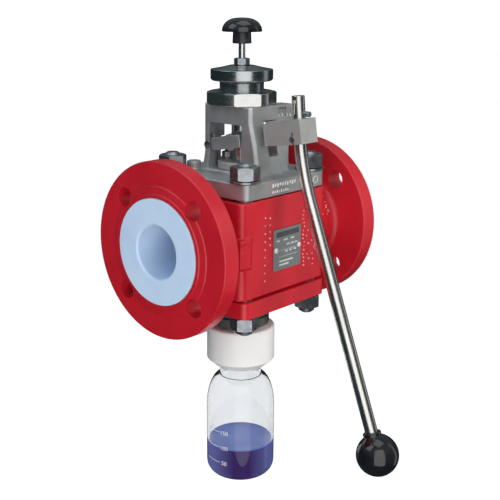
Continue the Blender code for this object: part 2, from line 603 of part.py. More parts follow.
def bottle_outline(inset):
    """The bottle's outside from mouth to base, drawn in by inset."""
    points = [(22.5, BOTTLE_MOUTH_Z), (22.5, -138.0), (20.6, -141.0), (21.6, -150.0)]
    rise = 14.0
    for step in range(1, 6):
        angle = math.pi / 2 * step / 5
        points.append((21.6 + 13.4 * math.sin(angle), -150.0 - 36.0 * (1 - math.cos(angle))))
    points = [(radius - inset, height) for radius, height in points]
    corner = rise - inset
    for step in range(5):
        angle = math.pi / 2 * step / 4
        radius = BOTTLE_R - rise + corner * math.cos(angle)
        points.append((radius, BOTTLE_BASE_Z + rise - corner * math.sin(angle)))
    return points


def bottle():
    """The round glass bottle, open at its mouth, and the sample that half fills it."""
    outside = bottle_outline(0.0)
    outside += [(17.0, BOTTLE_BASE_Z), (14.0, BOTTLE_BASE_Z + 1.2), (0, BOTTLE_BASE_Z + 1.5)]
    inside = [(0, BOTTLE_BASE_Z + 4.0)] + list(reversed(bottle_outline(BOTTLE_WALL)[:-1]))
    piece("bottle", turned(outside + inside, BOTTLE_STEPS), GLASS, BOTTLE_AXIS)
    floor = BOTTLE_BASE_Z + 4.4
    sample_r = BOTTLE_R - BOTTLE_WALL - GAP
    sample = [(0, floor), (18.0, floor + 0.4), (27.0, floor + 3.0), (31.2, floor + 6.6)]
    sample += [(sample_r, floor + 11.5), (sample_r, LIQUID_Z), (0, LIQUID_Z)]
    piece("liquid", turned(sample, BOTTLE_STEPS), SAMPLE, BOTTLE_AXIS)


body_casting()
body_liner()
seats_and_gaskets()
bottom_cover()
bonnet()
studs()
gland()
stem()
spring_cap()
rocker()
lever()
name_plate()
outlet()
bottle()
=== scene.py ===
"""The looks of the lined sampling valve: its fine surfaces, materials, light and camera.

Shapes are made in millimetres in the CAD's own frame, and `piece` turns them into metres. The pipe runs
along X, the hand lever hangs on the -Y side and Z is up.
"""

import math
import random

import bmesh
import bpy
from mathutils import Matrix, Vector


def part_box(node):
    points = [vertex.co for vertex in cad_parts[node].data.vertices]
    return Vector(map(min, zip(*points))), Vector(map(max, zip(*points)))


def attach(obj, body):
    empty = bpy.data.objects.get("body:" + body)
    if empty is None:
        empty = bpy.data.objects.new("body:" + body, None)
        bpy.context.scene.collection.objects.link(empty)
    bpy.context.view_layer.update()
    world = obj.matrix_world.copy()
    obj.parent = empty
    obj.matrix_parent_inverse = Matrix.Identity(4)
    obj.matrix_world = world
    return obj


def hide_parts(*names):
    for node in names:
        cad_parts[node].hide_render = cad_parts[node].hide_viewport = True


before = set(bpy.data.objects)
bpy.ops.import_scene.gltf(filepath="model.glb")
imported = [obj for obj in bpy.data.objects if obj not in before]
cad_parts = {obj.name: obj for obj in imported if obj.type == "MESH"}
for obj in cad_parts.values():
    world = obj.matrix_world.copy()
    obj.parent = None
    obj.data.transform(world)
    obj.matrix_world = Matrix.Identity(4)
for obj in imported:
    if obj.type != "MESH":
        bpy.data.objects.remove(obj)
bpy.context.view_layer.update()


def span(node):
    """The lowest and highest corner of a CAD node, in millimetres."""
    low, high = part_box(node)
    return low * 1000, high * 1000


def levels(node):
    """The lowest and highest Z of a CAD node, in millimetres."""
    low, high = span(node)
    return low.z, high.z


GAP = 0.3
PIPE_STEPS = 128
ROUND_STEPS = 96

# Pipe ends.
FACE_X = span("body_liner")[1].x
LINER_FACE_R = span("body_liner")[1].z
FLANGE_R = span("body_casting")[1].z
FLANGE_FACE_X = span("body_casting")[1].x - 3.0
FLANGE_BACK_X = FLANGE_FACE_X - 18.0
RAISED_R = 60.5
LINER_LIP = 3.7
LINER_R = 28.0
BORE_R = 25.0
NECK_R = 45.0
BOLT_CIRCLE_R = 62.5
BOLT_HOLE_R = 9.0

# Body block, covers and studs.
BLOCK = (62.0, 56.5)
BLOCK_Z = (-48.4, 44.0)
BONNET_LOW, BONNET_HIGH = span("bonnet")
BONNET = (57.5, -BONNET_LOW.y)
BONNET_TOP_Z = 61.0
COVER_LOW, COVER_HIGH = span("bottom_cover")
STUD_PLACES = ((47.0, 47.0), (-47.0, 47.0), (-47.0, -47.0), (47.0, -47.0))
STUD_R = 8.0
NUT_FLAT = 12.0
OUTLET_LINER_R = 20.0

# Yoke.
YOKE_X = 21.5
YOKE_TOP_Z = BONNET_HIGH.z
YOKE_PLATE_Z = 107.0
YOKE_FLOOR_Z = 63.2
SIDE_WINDOW_Y = (-18.7, 22.3)
FRONT_SLOT_X = (-2.6, 14.6)
REAR_SLOT_X = (0.8, 15.2)
SHELF_Z = 77.8
GLAND_POCKET_R = 25.5
PACKING_R = 13.0

# Stem, spring cap and knob.
STEM_R = 6.0
CAP_THREAD_R = 21.3
CAP_BODY_R = CAP_THREAD_R - 3
CAP_DISK_R = span("spring_cap")[1].x
CAP_DISK_Z = (148.3, 157.3)
LOCK_NUT_R = 33.4
LOCK_NUT_FLAT = 30.9
SPRING_R = 11.6
SPRING_WIRE_R = 1.5
SPRING_TURNS = 6
ROD_R = 3.2
KNOB_TOP_Z = span("mushroom_knob")[1].z

# Rocker and hand lever.
PIVOT = (0.0, 26.5, 84.6)
PIVOT_R = 4.0
ROCKER_TILT = math.radians(10.4)
ROCKER_X = 21.2
ROCKER_HALF = 6.1
ROCKER_REACH = 43.5
ROCKER_NECK_X = (-1.8, 8.5)
CAM_CENTRE = (-3.0, 90.0)
CAM_R = 8.0
BLOCK_TILT = math.radians(8.3)
LEVER_BLOCK_X = 12.0
LEVER_BLOCK_START = (-38.6, 100.4)
LEVER_BLOCK_LENGTH = 43.5
LEVER_BLOCK_HALF = 11.2
LEVER_R = 6.0
SCREW_R = 3.0
SCREW_PLACE = (-71.8, 98.5)
CROSS_PIN_Z = 121.5
LEVER_TOP = (-68.7, 137.5)
LEVER_BEND = ((-73.0, 90.0), (-77.0, 64.0), (-86.5, 39.0))
LEVER_FOOT = (-164.4, -167.0)
BALL_CENTRE = (-171.0, -185.0)
BALL_R = 20.0

# Plate, outlet and bottle.
PLATE_CENTRE = (2.0, -7.5)
RIVET_X = 17.0
SPOUT_R = 13.7
OUTLET_R = 10.0
UNION_R = span("outlet_spout")[1].x
UNION_Z = (-94.0, -66.3)
ADAPTER_R = span("bottle_adapter")[1].x
ADAPTER_Z = levels("bottle_adapter")
BOTTLE_R = span("bottle")[1].x
BOTTLE_Z = levels("bottle")
BOTTLE_WALL = 2.2
MOUTH_R = 22.5
FILM = 0.12
LIQUID_Z = span("liquid")[1].z


# ---------------------------------------------------------------- materials


class Finish:
    """A Principled material whose colour, roughness and bump come from textures in object space."""

    def __init__(self, name, **settings):
        self.material = bpy.data.materials.new(name + "_finish")
        self.material.use_nodes = True
        self.tree = self.material.node_tree
        self.shader = self.tree.nodes["Principled BSDF"]
        self.place = self.tree.nodes.new("ShaderNodeTexCoord").outputs["Object"]
        self.normal = None
        for key, value in settings.items():
            self.shader.inputs[key.replace("_", " ")].default_value = value

    def link(self, output, target):
        self.tree.links.new(output, target)

    def noise(self, scale, detail, stretch=(1.0, 1.0, 1.0)):
        mapping = self.tree.nodes.new("ShaderNodeMapping")
        mapping.inputs["Scale"].default_value = stretch
        self.link(self.place, mapping.inputs["Vector"])
        texture = self.tree.nodes.new("ShaderNodeTexNoise")
        texture.inputs["Scale"].default_value = scale
        texture.inputs["Detail"].default_value = detail
        texture.inputs["Roughness"].default_value = 0.55
        self.link(mapping.outputs["Vector"], texture.inputs["Vector"])
        return texture.outputs["Fac"]

    def ramp(self, value, stops):
        """Maps a value through colours given as (position, colour)."""
        node = self.tree.nodes.new("ShaderNodeValToRGB")
        elements = node.color_ramp.elements
        while len(elements) < len(stops):
            elements.new(0.5)
        for element, (position, colour) in zip(elements, stops):
            element.position = position
            element.color = (*colour, 1.0)
        self.link(value, node.inputs["Fac"])
        return node.outputs["Color"]

    def mapped(self, value, source, target):
        node = self.tree.nodes.new("ShaderNodeMapRange")
        for key, number in zip(("From Min", "From Max", "To Min", "To Max"), (*source, *target)):
            node.inputs[key].default_value = number
        self.link(value, node.inputs["Value"])
        return node.outputs["Result"]

    def colour(self, value, first, second):
        self.link(self.ramp(value, [(0.35, first), (0.65, second)]), self.shader.inputs["Base Color"])

    def rough(self, value, low, high):
        self.link(self.mapped(value, (0.3, 0.7), (low, high)), self.shader.inputs["Roughness"])

    def bump(self, value, strength, distance):
        node = self.tree.nodes.new("ShaderNodeBump")
        node.inputs["Strength"].default_value = strength
        node.inputs["Distance"].default_value = distance
        self.link(value, node.inputs["Height"])
        if self.normal:
            self.link(self.normal, node.inputs["Normal"])
        self.normal = node.outputs["Normal"]
        self.link(self.normal, self.shader.inputs["Normal"])

    def separate(self):
        node = self.tree.nodes.new("ShaderNodeSeparateXYZ")
        self.link(self.place, node.inputs["Vector"])
        return node.outputs


def surface(name, tint, shades, wear, roughness, bumps=(), **settings):
    """A finish whose shade, wear and bumps follow noises, each (scale, detail) and perhaps a stretch."""
    finish = Finish(name, **settings)
    finish.colour(finish.noise(*tint), *shades)
    finish.rough(finish.noise(*wear), *roughness)
    for grain, strength, distance in bumps:
        finish.bump(finish.noise(*grain), strength, distance)
    return finish.material


def printed(name, first, second):
    """Print or enamel with a faint grain; the foundry pips use it for a painted glint."""
    return surface(name, (900, 3), (first, second), (400, 2), (0.4, 0.6))


def sample_liquid():
    """A violet-blue dye with painted shade across it: a darker violet band through the middle and a lighter
    blue towards both sides, standing for the longer and shorter paths of light through the liquid.
    """
    finish = Finish("sample", Transmission_Weight=0.15, IOR=1.34, Specular_IOR_Level=0.15)
    axes = finish.separate()
    across = finish.tree.nodes.new("ShaderNodeMath")
    across.operation = "ADD"
    finish.link(finish.mapped(axes["X"], (-0.035, 0.035), (-0.5, 0.5)), across.inputs[0])
    finish.link(finish.mapped(axes["Y"], (-0.035, 0.035), (0.5, -0.5)), across.inputs[1])
    # Painted shade: the dark violet in the middle and the lighter blue at both sides stand for the light's
    # path through the liquid.
    blue, violet = (0.26, 0.29, 0.74), (0.075, 0.028, 0.22)
    stops = [(0, blue), (0.38, violet), (0.60, violet), (1, (0.22, 0.28, 0.72))]
    finish.link(
        finish.ramp(finish.mapped(across.outputs[0], (-0.7, 0.7), (0, 1)), stops),
        finish.shader.inputs["Base Color"],
    )
    finish.rough(finish.noise(30, 2), 0.02, 0.06)
    return finish.material


RED = surface("red_paint", (14, 5), ((0.52, 0.008, 0.018), (0.62, 0.013, 0.027)), (90, 4),
              (0.30, 0.46), [((55, 4), 0.22, 0.0012), ((420, 3), 0.16, 0.0004)],
              Coat_Weight=0.25, Coat_Roughness=0.2, Coat_IOR=1.5)
CAST = surface("cast_steel", (40, 6), ((0.45, 0.46, 0.46), (0.58, 0.59, 0.59)), (200, 4),
               (0.40, 0.54), [((130, 4), 0.12, 0.0008), ((1100, 3), 0.30, 0.0002)], Metallic=0.72)
# Flat faces with straight grinding lines.
lines = (70, 5, (1, 1, 22))
GROUND = surface("ground_steel", (30, 4), ((0.58, 0.58, 0.55), (0.70, 0.70, 0.67)), lines,
                 (0.38, 0.52), [(lines, 0.10, 0.0003), ((900, 2), 0.12, 0.00015)], Metallic=0.72)
# The large lock nut, whose milled flats mirror the room softly.
lines = (50, 4, (1, 1, 16))
MACHINED = surface("machined_steel", (30, 4), ((0.62, 0.62, 0.60), (0.76, 0.76, 0.74)), lines,
                   (0.20, 0.30), [(lines, 0.05, 0.0002)], Metallic=1)
# Turned pieces on the stem axis, with fine rings from the tool.
lines = (60, 4, (0.4, 0.4, 40))
TURNED = surface("turned_steel", (25, 3), ((0.42, 0.45, 0.47), (0.56, 0.58, 0.59)), lines,
                 (0.14, 0.30), [(lines, 0.08, 0.0002)], Metallic=1)
POLISHED = surface("polished_steel", (12, 3), ((0.66, 0.65, 0.62), (0.80, 0.79, 0.76)),
                   (160, 4, (1, 1, 0.15)), (0.20, 0.30),
                   [((700, 2, (1, 1, 0.1)), 0.04, 0.0001)], Metallic=1)
# Nuts, studs and washers, slightly scuffed.
PLATED = surface("plated_steel", (120, 5), ((0.28, 0.30, 0.33), (0.44, 0.46, 0.48)), (260, 4),
                 (0.24, 0.42), [((600, 4), 0.10, 0.0002)], Metallic=0.95)
# The union under the body, matt, its steel darkened as painted shade.
SHADED_STEEL = surface("shaded_steel", (60, 5), ((0.20, 0.21, 0.21), (0.34, 0.34, 0.33)), (180, 4),
               (0.34, 0.5), [((500, 3), 0.14, 0.0003)], Metallic=0.85)
LINER = surface("liner_plastic", (22, 4), ((0.58, 0.72, 0.96), (0.64, 0.79, 1)), (120, 4),
                (0.34, 0.48), [((90, 4), 0.05, 0.0006)], Subsurface_Weight=0.25,
                Subsurface_Scale=0.006, Subsurface_Radius=(0.8, 0.9, 1))
WHITE = surface("white_plastic", (20, 3), ((0.86, 0.84, 0.83), (0.92, 0.90, 0.89)), (150, 3),
                (0.42, 0.55), [((80, 3, (0.6, 0.6, 8)), 0.04, 0.0004)], Subsurface_Weight=0.3,
                Subsurface_Scale=0.008, Subsurface_Radius=(1, 0.9, 0.8))
BLACK = surface("black_plastic", (60, 4), ((0.004, 0.005, 0.006), (0.012, 0.013, 0.015)),
                (220, 4), (0.10, 0.22), [((320, 3), 0.02, 0.0002)], Coat_Weight=0.6,
                Coat_Roughness=0.04)
# The knob's neck, of the same plastic with fine moulding rings.
BLACK_RIBBED = surface("black_ribbed", (60, 4), ((0.010, 0.011, 0.013), (0.030, 0.031, 0.034)),
                       (90, 3, (0.5, 0.5, 14)), (0.25, 0.42),
                       [((70, 3, (0.3, 0.3, 14)), 0.15, 0.0004)], Coat_Weight=0.2, Coat_Roughness=0.2)
BRAID = surface("packing", (500, 4), ((0.05, 0.05, 0.05), (0.16, 0.16, 0.15)), (300, 3),
                (0.7, 0.9), [((700, 4, (1, 1, 3)), 0.5, 0.0004)])
lines = (80, 4, (24, 1, 1))
PLATE = surface("plate_metal", lines, ((0.25, 0.285, 0.29), (0.32, 0.355, 0.36)), lines, (0.38, 0.52),
                [(lines, 0.06, 0.0002)], Metallic=0.55)
PLATE_BAND = printed("plate_band", (0.05, 0.06, 0.06), (0.08, 0.09, 0.09))
PLATE_MARK = printed("plate_mark", (0.50, 0.53, 0.51), (0.66, 0.68, 0.66))
ENAMEL = printed("enamel", (0.85, 0.86, 0.88), (0.95, 0.95, 0.96))
# Painted glint: the pips' light pink stands for highlights on raised cast marks of the red body.
PIP_GLINT = printed("foundry_pip_glint", (0.66, 0.16, 0.18), (0.90, 0.50, 0.50))
# Raised marks and rivet heads, near white as a painted highlight.
HIGHLIGHT_STEEL = surface("highlight_steel", (500, 3), ((0.78, 0.77, 0.75), (0.95, 0.94, 0.92)), (300, 2),
               (0.22, 0.4), Metallic=0.25)
GLASS = surface("glass", (8, 2), ((0.86, 0.875, 0.885), (0.89, 0.90, 0.91)), (40, 2),
                (0, 0.02), [((28, 2), 0.03, 0.0006)], Transmission_Weight=1, IOR=1.47,
                Specular_IOR_Level=0.2)
SAMPLE = sample_liquid()
# Painted reflection: the liquid's top face is the dye's blue, made lighter than the liquid below it.
LIQUID_TOP_SHEEN = surface("sample_surface_sheen", (26, 2), ((0.16, 0.27, 0.85), (0.27, 0.38, 0.95)),
                  (50, 2), (0.03, 0.10), IOR=1.34, Specular_IOR_Level=0.15)


# ---------------------------------------------------------------- shape helpers


def facing(axis):
    """The rotation that carries a shape made along +Z onto another direction."""
    turns = {
        "+Z": Matrix.Identity(4),
        "+X": Matrix.Rotation(math.pi / 2, 4, "Y"),
        "-X": Matrix.Rotation(-math.pi / 2, 4, "Y"),
        "-Y": Matrix.Rotation(math.pi / 2, 4, "X"),
    }
    return turns[axis]


def filleted(points, steps=4):
    """A closed outline in which each corner given as (u, v, radius) becomes an arc."""
    outline = []
    for index, point in enumerate(points):
        corner = Vector(point[:2])
        radius = point[2] if len(point) == 3 else 0.0
        if not radius:
            outline.append(tuple(corner))
            continue
        back = (Vector(points[index - 1][:2]) - corner).normalized()
        ahead = (Vector(points[(index + 1) % len(points)][:2]) - corner).normalized()
        half = back.angle(ahead) / 2
        centre = corner + (back + ahead).normalized() * (radius / math.sin(half))
        reach = radius / math.tan(half)
        first, last = corner + back * reach - centre, corner + ahead * reach - centre
        turn = math.atan2(first.x * last.y - first.y * last.x, first.dot(last))
        for step in range(steps + 1):
            outline.append(tuple(centre + Matrix.Rotation(turn * step / steps, 2) @ first))
    return outline


def turned(profile, steps=ROUND_STEPS, axis="+Z", centre=(0.0, 0.0, 0.0)):
    """A closed profile of (radius, height) points turned about an axis."""
    bm = bmesh.new()
    angles = [2 * math.pi * step / steps for step in range(steps)]
    rings = []
    for radius, height in profile:
        if radius < 1e-6:
            rings.append([bm.verts.new((0, 0, height))])
        else:
            ring = [(radius * math.cos(a), radius * math.sin(a), height) for a in angles]
            rings.append([bm.verts.new(point) for point in ring])
    for near, far in zip(rings, rings[1:] + rings[:1]):
        if len(near) == len(far) == 1:
            continue
        for step in range(steps):
            corners = [near[step % len(near)], near[(step + 1) % len(near)]]
            corners += [far[(step + 1) % len(far)], far[step % len(far)]]
            bm.faces.new(list(dict.fromkeys(corners)))
    bm.transform(Matrix.Translation(centre) @ facing(axis))
    return closed(bm)


def closed(bm):
    bmesh.ops.recalc_face_normals(bm, faces=bm.faces)
    return bm


def rod(radius, low, high, steps=48, axis="+Z", centre=(0.0, 0.0, 0.0), edge=0.0):
    corner = (edge,) if edge else ()
    points = [(0, low), (radius, low, *corner), (radius, high, *corner), (0, high)]
    return turned(filleted(points, 3), steps, axis, centre)


def tube(inner, outer, low, high, steps=ROUND_STEPS, centre=(0.0, 0.0, 0.0), edge=0.3):
    points = [(inner, low, edge), (outer, low, edge), (outer, high, edge), (inner, high, edge)]
    return turned(filleted(points, 3), steps, "+Z", centre)


def rectangle(low, high, corner=0.0, steps=8):
    """A rectangle with rounded corners."""
    rounding = (corner,) if corner else ()
    points = [(low[0], low[1], *rounding), (high[0], low[1], *rounding)]
    points += [(high[0], high[1], *rounding), (low[0], high[1], *rounding)]
    return filleted(points, steps)


def lofted(sections):
    """A solid through rings of points that match one to one, capped at both ends."""
    bm = bmesh.new()
    rings = [[bm.verts.new(point) for point in section] for section in sections]
    for near, far in zip(rings, rings[1:]):
        for step in range(len(near)):
            after = (step + 1) % len(near)
            bm.faces.new([near[step], near[after], far[after], far[step]])
    bm.faces.new(rings[0])
    bm.faces.new(rings[-1])
    return closed(bm)


def prism(outline, low, high, along="Z"):
    """An outline extruded along an axis: (x, y) points along Z, (y, z) points along X, (x, z) along Y."""
    places = {"Z": lambda u, v, w: (u, v, w), "X": lambda u, v, w: (w, u, v), "Y": lambda u, v, w: (u, w, v)}
    place = places[along]
    return lofted([[place(u, v, level) for u, v in outline] for level in (low, high)])


def box(low, high):
    return prism(rectangle(low[:2], high[:2]), low[2], high[2])


def swept(path, radius, sides=32, reference=(1.0, 0.0, 0.0)):
    """A round bar along a path; radius is one number or one for each point."""
    sections = []
    for index, point in enumerate(path):
        tangent = Vector(path[min(index + 1, len(path) - 1)]) - Vector(path[max(index - 1, 0)])
        across = tangent.normalized().cross(Vector(reference)).normalized()
        upward = across.cross(tangent.normalized())
        size = radius[index] if isinstance(radius, list) else radius
        angles = [2 * math.pi * side / sides for side in range(sides)]
        ring = [across * math.cos(a) * size + upward * math.sin(a) * size for a in angles]
        sections.append([Vector(point) + offset for offset in ring])
    return lofted(sections)


def merged(*shapes):
    """Several shapes kept side by side in one mesh."""
    whole = bmesh.new()
    for shape in shapes:
        mesh = mesh_from("shape", shape)
        whole.from_mesh(mesh)
        bpy.data.meshes.remove(mesh)
    return whole


def put_in_scene(name, data):
    made = bpy.data.objects.new(name, data)
    bpy.context.scene.collection.objects.link(made)
    return made


def mesh_from(name, bm):
    """The mesh of a shape, which is used up."""
    mesh = bpy.data.meshes.new(name)
    bm.to_mesh(mesh)
    bm.free()
    return mesh


def modified(bm, *steps):
    """A shape after modifiers, each given as (type, settings). A Boolean's tool is given as a shape."""
    target = put_in_scene("loose", mesh_from("loose", bm))
    helpers = []
    for kind, settings in steps:
        modifier = target.modifiers.new(kind, kind)
        for key, value in settings.items():
            if isinstance(value, bmesh.types.BMesh):
                value = put_in_scene("loose", mesh_from("loose", value))
                helpers.append(value)
            setattr(modifier, key, value)
    graph = bpy.context.evaluated_depsgraph_get()
    mesh = bpy.data.meshes.new_from_object(target.evaluated_get(graph))
    result = bmesh.new()
    result.from_mesh(mesh)
    for unused in (target, *helpers):
        bpy.data.objects.remove(unused, do_unlink=True)
    bpy.data.meshes.remove(mesh)
    return result


def joined(bm, *tools):
    return modified(bm, *[("BOOLEAN", {"operation": "UNION", "object": tool}) for tool in tools])


def cut(bm, *tools):
    return modified(bm, *[("BOOLEAN", {"operation": "DIFFERENCE", "object": tool}) for tool in tools])


def common(bm, *tools):
    return modified(bm, *[("BOOLEAN", {"operation": "INTERSECT", "object": tool}) for tool in tools])


def bevelled(bm, width, segments=2, angle=30.0):
    """Rounds every edge sharper than an angle."""
    settings = {"width": width, "segments": segments, "limit_method": "ANGLE"}
    settings.update({"angle_limit": math.radians(angle), "use_clamp_overlap": True})
    return modified(bm, ("BEVEL", settings))


def cast_skin(bm, voxel, passes, keep=1.0):
    """The soft skin of a casting: one even mesh, smoothed so that edges and inner corners turn round."""
    steps = [("REMESH", {"mode": "VOXEL", "voxel_size": voxel, "use_smooth_shade": True})]
    steps.append(("SMOOTH", {"factor": 0.5, "iterations": passes}))
    if keep < 1.0:
        steps.append(("DECIMATE", {"ratio": keep}))
    return modified(bm, *steps)


def thread(radius, low, high, pitch, depth):
    """Profile points of a thread between two heights."""
    points = []
    count = int((high - low) / pitch)
    for turn in range(count):
        base = low + turn * pitch
        points += [(radius - depth, base), (radius, base + pitch * 0.38), (radius, base + pitch * 0.62)]
    return points + [(radius - depth, low + count * pitch)]


def polygon(sides, radius, turn):
    angles = [turn + 2 * math.pi * side / sides for side in range(sides)]
    return [(radius * math.cos(a), radius * math.sin(a)) for a in angles]


def hex_nut(flat, bore, low, high, centre, turn):
    """A hexagon nut with coned corners at both ends and a countersunk bore."""
    corner = flat / math.cos(math.pi / 6)
    drop = (corner - flat) * 0.6
    limit = [(bore + 1.2, low), (flat - 0.2, low), (corner + 0.05, low + drop), (corner + 0.05, high - drop)]
    limit += [(flat - 0.2, high), (bore + 1.2, high), (bore, high - 1.2), (bore, low + 1.2)]
    barrel = turned(limit, 72)
    nut = common(prism(polygon(6, corner, turn), low - 1, high + 1), barrel)
    nut = bevelled(nut, 0.25, 2, 20.0)
    nut.transform(Matrix.Translation(centre))
    return nut


def piece(name, bm, finish, body, nodes=(), angle=32.0, weighted=True, extra=()):
    """Puts a shape into the scene as a piece that rides on a body and stands for CAD nodes."""
    bmesh.ops.recalc_face_normals(bm, faces=bm.faces)
    bm.transform(Matrix.Scale(0.001, 4))
    mesh = mesh_from(name, bm)
    for material in (finish, *extra):
        mesh.materials.append(material)
    mesh.shade_smooth()
    mesh.set_sharp_from_angle(angle=math.radians(angle))
    made = put_in_scene(name, mesh)
    if weighted:
        modifier = made.modifiers.new("normals", "WEIGHTED_NORMAL")
        modifier.keep_sharp = True
    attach(made, body)
    if nodes:
        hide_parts(*nodes)
    return made


# ---------------------------------------------------------------- pipe ends and body


def casting_block():
    """The block and both necks, with the foundry's raised pad on the front left corner."""
    outline = rectangle((-BLOCK[0], -BLOCK[1]), BLOCK, 7.0)
    block = prism(outline, *BLOCK_Z)
    neck = rod(NECK_R, -FLANGE_BACK_X - 4, FLANGE_BACK_X + 4, 96, "+X")
    pads = [box((-65.0, -58.0, -17.0), (-49.5, -40.0, 11.0))]
    for row in range(8):
        level = -15.5 + row * 3.5
        pads.append(box((-65.4, -58.8, level), (-50.5 - (row % 3), -45.0, level + 1.6)))
    body = joined(block, neck, *pads)
    bores = [rod(LINER_R + GAP, -FACE_X, FACE_X, 96, "+X"), rod(OUTLET_LINER_R + GAP, -70, 70)]
    bores += [rod(STUD_R + GAP, -60, 60, 24, centre=(x, y, 0)) for x, y in STUD_PLACES]
    body = cut(body, *bores)
    piece("casting_block", cast_skin(body, 1.1, 5, 0.55), RED, "root", ["body_casting"],
          angle=60, weighted=False)


def flange(name, side):
    """One end flange, with its raised ring, its recess for the liner and four bolt holes."""
    back, face = FLANGE_BACK_X, FLANGE_FACE_X
    points = [(LINER_R + GAP, back - 10), (NECK_R + 0.2, back - 10), (NECK_R + 0.2, back, 7.0)]
    points += [(FLANGE_R, back, 1.6), (FLANGE_R, face, 1.6), (RAISED_R, face, 0.8)]
    points += [(RAISED_R - 0.8, face + 0.9, 0.5), (LINER_FACE_R + 4.2, face + 1.9, 0.6)]
    points += [(LINER_FACE_R + 3.4, face + 3.0, 0.7), (LINER_FACE_R + GAP, face + 3.0, 0.5)]
    points += [(LINER_FACE_R + GAP, face), (LINER_R + GAP, face)]
    disk = turned(filleted(points, 5), PIPE_STEPS, "+X")
    holes = []
    for corner in range(4):
        angle = math.pi / 4 + corner * math.pi / 2
        place = (0, BOLT_CIRCLE_R * math.cos(angle), BOLT_CIRCLE_R * math.sin(angle))
        holes.append(rod(BOLT_HOLE_R, back - 1.5, face + 8, 48, "+X", place))
    disk = bevelled(cut(disk, *holes), 0.5, 2)
    if side < 0:
        disk.transform(Matrix.Rotation(math.pi, 4, "Z"))
    piece(name, disk, RED, "root", ["body_casting"])


def liner():
    """The plastic lining, one piece from face to face, with the stubs for stem and outlet."""
    lip = FACE_X - LINER_LIP
    half = [(LINER_R, lip), (LINER_FACE_R, lip, 0.3), (LINER_FACE_R, FACE_X, 0.7), (BORE_R, FACE_X, 2.4)]
    mirrored = [(point[0], -point[1], *point[2:]) for point in reversed(half)]
    shell = turned(filleted(half + mirrored, 5), PIPE_STEPS, "+X")
    stub = joined(shell, cut(rod(OUTLET_LINER_R, BLOCK_Z[0], BLOCK_Z[1] - GAP),
                             rod(BORE_R + 1.5, -50, 50, 96, "+X")))
    stub = cut(stub, rod(STEM_R + 0.5, 0, 60), rod(SPOUT_R + GAP, -60, 0))
    piece("liner_shell", bevelled(stub, 0.4, 2, 40.0), LINER, "root", ["body_liner"])


def cover():
    low, high = COVER_LOW, COVER_HIGH
    slab = prism(rectangle(low.xy, high.xy, 6.5), low.z, high.z)
    holes = [rod(SPOUT_R + GAP, -80, -40)]
    holes += [rod(STUD_R + GAP, -80, -40, 32, centre=(x, y, 0)) for x, y in STUD_PLACES]
    slab = bevelled(cut(slab, *holes), 1.4, 3)
    piece("cover_slab", slab, RED, "root", ["bottom_cover"])


def foundry_pips():
    """Small cast pips, light pink as a painted glint: two columns left of the plate and looser groups right
    of it and by the outlet.
    """
    chance = random.Random(4)
    places = []
    for row in range(9):
        places.append((-29.5, 26.5 - row * 7.6))
        if row < 5:
            places.append((-22.6, 25.0 - row * 6.4))
    for row in range(15):
        level = 24.0 - row * 3.9
        places.append((28.0 + chance.uniform(-2, 2), level))
        if row % 2:
            places.append((34.0 + chance.uniform(-3, 3), level + chance.uniform(-2, 2)))
        if row > 6:
            places.append((43.0 + chance.uniform(-4, 4), level + chance.uniform(-2, 2)))
    front = -BLOCK[1] - 0.1
    drops = [pip((x, front, z), 0.75 + chance.uniform(0, 0.35)) for x, z in places]
    for _ in range(34):
        angle = math.radians(chance.uniform(-78, -35))
        reach = NECK_R + 0.2
        x = chance.uniform(66, 84)
        drops.append(pip((x, reach * math.sin(angle), reach * math.cos(angle)), chance.uniform(0.6, 1.1)))
    piece("foundry_pips", merged(*drops), PIP_GLINT, "root", weighted=False, angle=60)


def pip(place, radius):
    bm = bmesh.new()
    bmesh.ops.create_icosphere(bm, subdivisions=2, radius=radius, matrix=Matrix.Translation(place))
    return bm


# ---------------------------------------------------------------- bonnet and yoke


def yoke_section(z, left, right, rear, front, corner):
    points = [(left + corner, front), (right - corner, front), (right, front + corner)]
    points += [(right, rear - corner), (right - corner, rear), (left + corner, rear)]
    points += [(left, rear - corner), (left, front + corner)]
    return [(x, y, z) for x, y in points]


